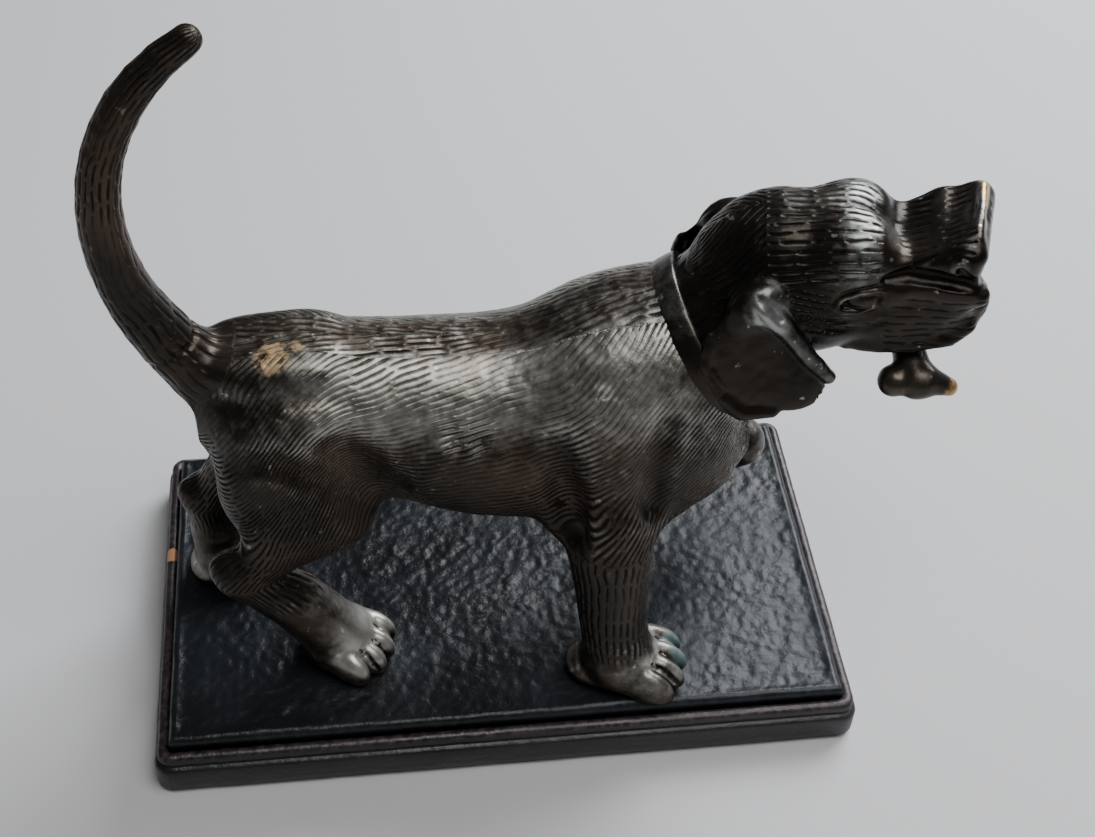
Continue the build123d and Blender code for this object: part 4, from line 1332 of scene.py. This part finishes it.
def dress_body():
    """The torso, legs and tail, engraved and worn, with a painted sheen along the upper flank and painted shade
    on the lower flank and in the hollows.
    """
    legs, trunk, tail = make_legs(), make_trunk(), make_tail()
    body = make_body(trunk, legs, tail)
    volumes = [trunk, *(legs[name] for name in BODY[1:-1]), tail]
    points, quads, normals, label, owner = melted(
        body, place(-60, -28, -1), place(53, 24, 122), BODY_STEP, volumes, (0.0, 0.5, 0.5, 0.5, 0.5, 0.0)
    )
    limbs = {}
    for name, (low, high, stations) in LIMB_COATS.items():
        middle = [place(*station) for station in stations]
        limbs[BODY.index(name)] = (lambda where, middle=middle: around(where, middle, LIMB_ROWS), low, high)
    limbs[TAIL] = (tail_row, 0, 400)
    row, strength = body_comb(points, owner, limbs)
    points, hollow_shade, edge = pressed(body, points, normals, row, strength, BODY_GROOVE)
    height = (points[:, 2] - GROUND_Z) / SPINE
    upward = np.clip(normals[:, 2], 0, 1)
    along = points[:, 0] - BASE_X
    girth = np.degrees(np.arctan2(points[:, 2] - GROUND_Z - SPINE + 1.0, np.abs(points[:, 1] - MIDDLE_Y) + 0.4))
    # Painted sheen: a bright band along the upper flank is added to the wear values, and the body is also made
    # lighter towards the top.
    flank_sheen = smooth_step(14.0, 38.0, girth) * smooth_step(84.0, 66.0, girth)
    flank_sheen *= smooth_step(-42, -22, along) * smooth_step(34, 20, along)
    blotch = lattice_noise(points, 16.0, 61) + 0.6 * lattice_noise(points, 6.0, 62)
    wear_and_sheen = 0.16 + 0.48 * flank_sheen + 0.09 * blotch + 0.26 * smooth_step(0.75, 1.2, height)
    wear_and_sheen += 0.80 * smooth_step(0.34, 0.14, height) * np.clip(upward + 0.35, 0, 1) - 0.28 * (owner == TAIL)
    wear_and_sheen += 0.60 * (owner == NEAR_HIND) * smooth_step(0.46, 0.36, height) * np.clip(upward + 0.2, 0, 1)
    wear_and_sheen += 0.9 * patches(points, body_line([(44.8, 13.5, 21.5, 6.5)]))
    # Painted shade: the lower flank is darkened.
    wear_and_sheen -= 0.22 * smooth_step(0.8, 0.45, height) * smooth_step(0.2, 0.4, height) * (owner != NEAR_HIND)
    toes = body_line([(28.5, -19.0, 3, 4.6), (27.0, -16.5, 3, 4.6), (20, -13, 1, 3.0)])
    rump = body_line([(-34.0, -4.0, SPINE + 15.5, 5.0), (-31.0, -3.0, SPINE + 15.8, 3.6)])
    values = {"row": row, "comb": strength, "hollow_shade": hollow_shade, "edge": edge, "wear_and_sheen": wear_and_sheen}
    values |= {"gold": 0 * row, "green": patches(points, toes), "sand": 0.66 * patches(points, rump)}
    return castings(BODY, points, quads, label, values)


def dress_head():
    """The head and ears, engraved and worn; the lip's fold is darkened with painted shadow."""
    head, near_ear, far_ear = make_head(), make_ear(-1), make_ear(1)
    face = make_face(head, (near_ear, far_ear))
    points, quads, normals, label, owner = melted(
        face, SKULL - [26, 20, 30], SKULL + [32, 20, 18], HEAD_STEP, [head, near_ear, far_ear], (0.0, 0.6, 0.6)
    )
    row, strength = head_comb(points, owner)
    points, hollow_shade, edge = pressed(face, points, normals, row, strength, HEAD_GROOVE)
    local = (points - SKULL) @ HEAD_AXES
    s, _, w = local.T
    nose_rim = smooth_step(24.6, 25.6, s) * smooth_step(2.0, 5.0, w)
    eye = np.min([np.linalg.norm(local - [7.6, side * 9.4, -0.6], axis=1) for side in SIDES], axis=0)
    brow = smooth_step(2.0, 6.0, s) * smooth_step(12.5, 9.5, s) * smooth_step(0.5, 4.0, w)
    root = smooth_step(6.0, 2.5, np.linalg.norm(points - ear_place(-1, 1.0, 0.0, 2.0), axis=1))
    from_roll, from_crease = (
        np.min([limb(line(side))[0](points) for side in SIDES], axis=0) for line in (ear_roll, mouth_crease)
    )
    # Painted shadow: the fold under the bridge's overhang is darkened.
    crease = smooth_step(0.7, 0.1, from_crease)
    hollow_shade = np.maximum(hollow_shade, crease)
    edge = np.where(owner > 0, edge * 0.25, edge) * (1 - crease)
    wear_and_sheen = 0.10 + 0.10 * lattice_noise(points, 5.0, 71) + 0.55 * brow + 0.6 * root + 0.6 * nose_rim
    wear_and_sheen += 0.55 * smooth_step(0.9, 0.1, from_roll) - 0.35 * smooth_step(2.0, -2.0, w) * (owner == 0)
    gold = 0.65 * nose_rim * smooth_step(0.35, 0.6, edge) + 0.15 * nose_rim + 0.30 * smooth_step(4.6, 3.0, eye)
    values = {"row": row, "comb": strength, "hollow_shade": hollow_shade, "edge": edge, "wear_and_sheen": wear_and_sheen}
    values |= {"gold": gold, "green": 0.35 * brow, "sand": 0 * row}
    return castings(["head", "near_ear", "far_ear"], points, quads, label, values)


def small_piece(name, field, low, high, gold_at=()):
    """A separate casting with the same patina values."""
    points, quads, normals = sculpt(field, low, high, SMALL_STEP, 1)
    zero = np.zeros(len(points))
    points, hollow_shade, edge = pressed(field, points, normals, zero + 0.5, zero, 0.0)
    # The hollow amount is painted shade.
    own = {"hollow_shade": hollow_shade, "edge": edge, "wear_and_sheen": 0.25, "gold": 0.6 * patches(points, gold_at)}
    values = {key: zero + level for key, level in {**BARE, **own}.items()}
    return castings([name], points, quads, np.zeros(len(quads), int), values)[name]


bone_tip = (on_head(22.0, -8.9, -18.8), 4.2)
pieces = {**dress_body(), **dress_head()}
pieces["bone"] = small_piece("bone", make_bone(), SKULL - [0, 26, 26], SKULL + [30, 18, 4], [bone_tip])
pieces["lower_jaw"] = small_piece("lower_jaw", make_jaw(), SKULL - [4, 14, 24], SKULL + [26, 8, 0])
pieces["collar"] = make_collar()
pieces["plinth"] = make_plinth()
pieces["ground_plate"] = make_ground()

BODY_COLOURS = (0.027, 0.023, 0.019), (0.060, 0.043, 0.031), (0.46, 0.45, 0.41)
HEAD_COLOURS = (0.016, 0.014, 0.012), (0.034, 0.026, 0.020), (0.42, 0.43, 0.41)
BONE_COLOURS = (0.035, 0.030, 0.026), (0.10, 0.08, 0.06), (0.45, 0.42, 0.36)
BASE_COLOURS = (0.010, 0.009, 0.011), (0.020, 0.016, 0.020), (0.13, 0.08, 0.08)
GROUND_COLOURS = (0.006, 0.007, 0.009), (0.012, 0.015, 0.019), (0.06, 0.07, 0.08)
MATERIALS = {
    "bronze_body": bronze("body bronze", *BODY_COLOURS, 0.95, 0.37),
    "bronze_head": bronze("head bronze", *HEAD_COLOURS, 0.8, 0.32, 0.68, 0.9),
    "bronze_bright": bronze("bone bronze", *BONE_COLOURS, 0.9, 0.36),
    "base_black": enamel("base enamel", *BASE_COLOURS, 0.40, 0.35),
    "ground_black": enamel("ground enamel", *GROUND_COLOURS, 0.36, 0.12, 0.30),
    "steel": plain_metal("turned steel", (0.42, 0.41, 0.40), (0.20, 0.17, 0.14), 0.28),
    "felt": felt_cloth(),
}
PIN_METAL = plain_metal("drawn brass", (0.45, 0.36, 0.20), (0.22, 0.17, 0.10), 0.25)
SLOTS = {part["node"]: part["material_slot"] for part in frame["record"]["subparts"]}

for name, piece in pieces.items():
    piece.data.materials.clear()
    piece.data.materials.append(MATERIALS[SLOTS[name]])
    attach(piece, "root")
    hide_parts(name)
for name, node in frame["nodes"].items():
    if name not in pieces:
        node.data.materials.clear()
        node.data.materials.append(PIN_METAL if SLOTS[name] == "bronze_bright" else MATERIALS[SLOTS[name]])

# ---------------------------------------------------------------- floor, camera and light
paper = Shades("plain floor")
corners = 3 * MM * np.array([(-1, -1, 0), (1, -1, 0), (1, 1, 0), (-1, 1, 0)])
floor = linked("floor", mesh_from("floor", corners, [(0, 1, 2, 3)]))
floor.data.materials.append(paper.finish((0.52, 0.52, 0.53), 0.85, 0.0, 0.2))


def light(name, energy, size, location, colour):
    """A soft square lamp that faces the middle of the dog."""
    data = bpy.data.lights.new(name, "AREA")
    data.energy = energy
    data.size = size
    data.color = colour
    lamp = bpy.data.objects.new(name, data)
    bpy.context.scene.collection.objects.link(lamp)
    lamp.location = location
    lamp.rotation_euler = (Vector((0, 0, 0.05)) - lamp.location).to_track_quat("-Z", "Y").to_euler()


light("window", 7.0, 0.40, (0.34, 0.34, 0.46), (0.94, 0.97, 1.0))
light("ceiling", 4.1, 0.45, (0.16, -0.20, 0.72), (1.0, 0.99, 0.97))
world = bpy.data.worlds.new("studio")
bpy.context.scene.world = world
world.use_nodes = True
background = world.node_tree.nodes["Background"]
background.inputs["Color"].default_value = (0.50, 0.51, 0.53, 1)
background.inputs["Strength"].default_value = 0.22

camera_data = bpy.data.cameras.new("camera")
camera_data.lens = 55.9
camera_data.sensor_width = 36
camera = bpy.data.objects.new("camera", camera_data)
bpy.context.scene.collection.objects.link(camera)
PHOTO_VIEW = (  # solved from the corners of the base in the photograph
    (0.9934, 0.0619, -0.0969, -0.0187),
    (-0.1119, 0.7146, -0.6905, -0.1944),
    (0.0265, 0.6968, 0.7168, 0.2506),
    (0, 0, 0, 1),
)
camera.matrix_world = Matrix(PHOTO_VIEW)
bpy.context.scene.camera = camera
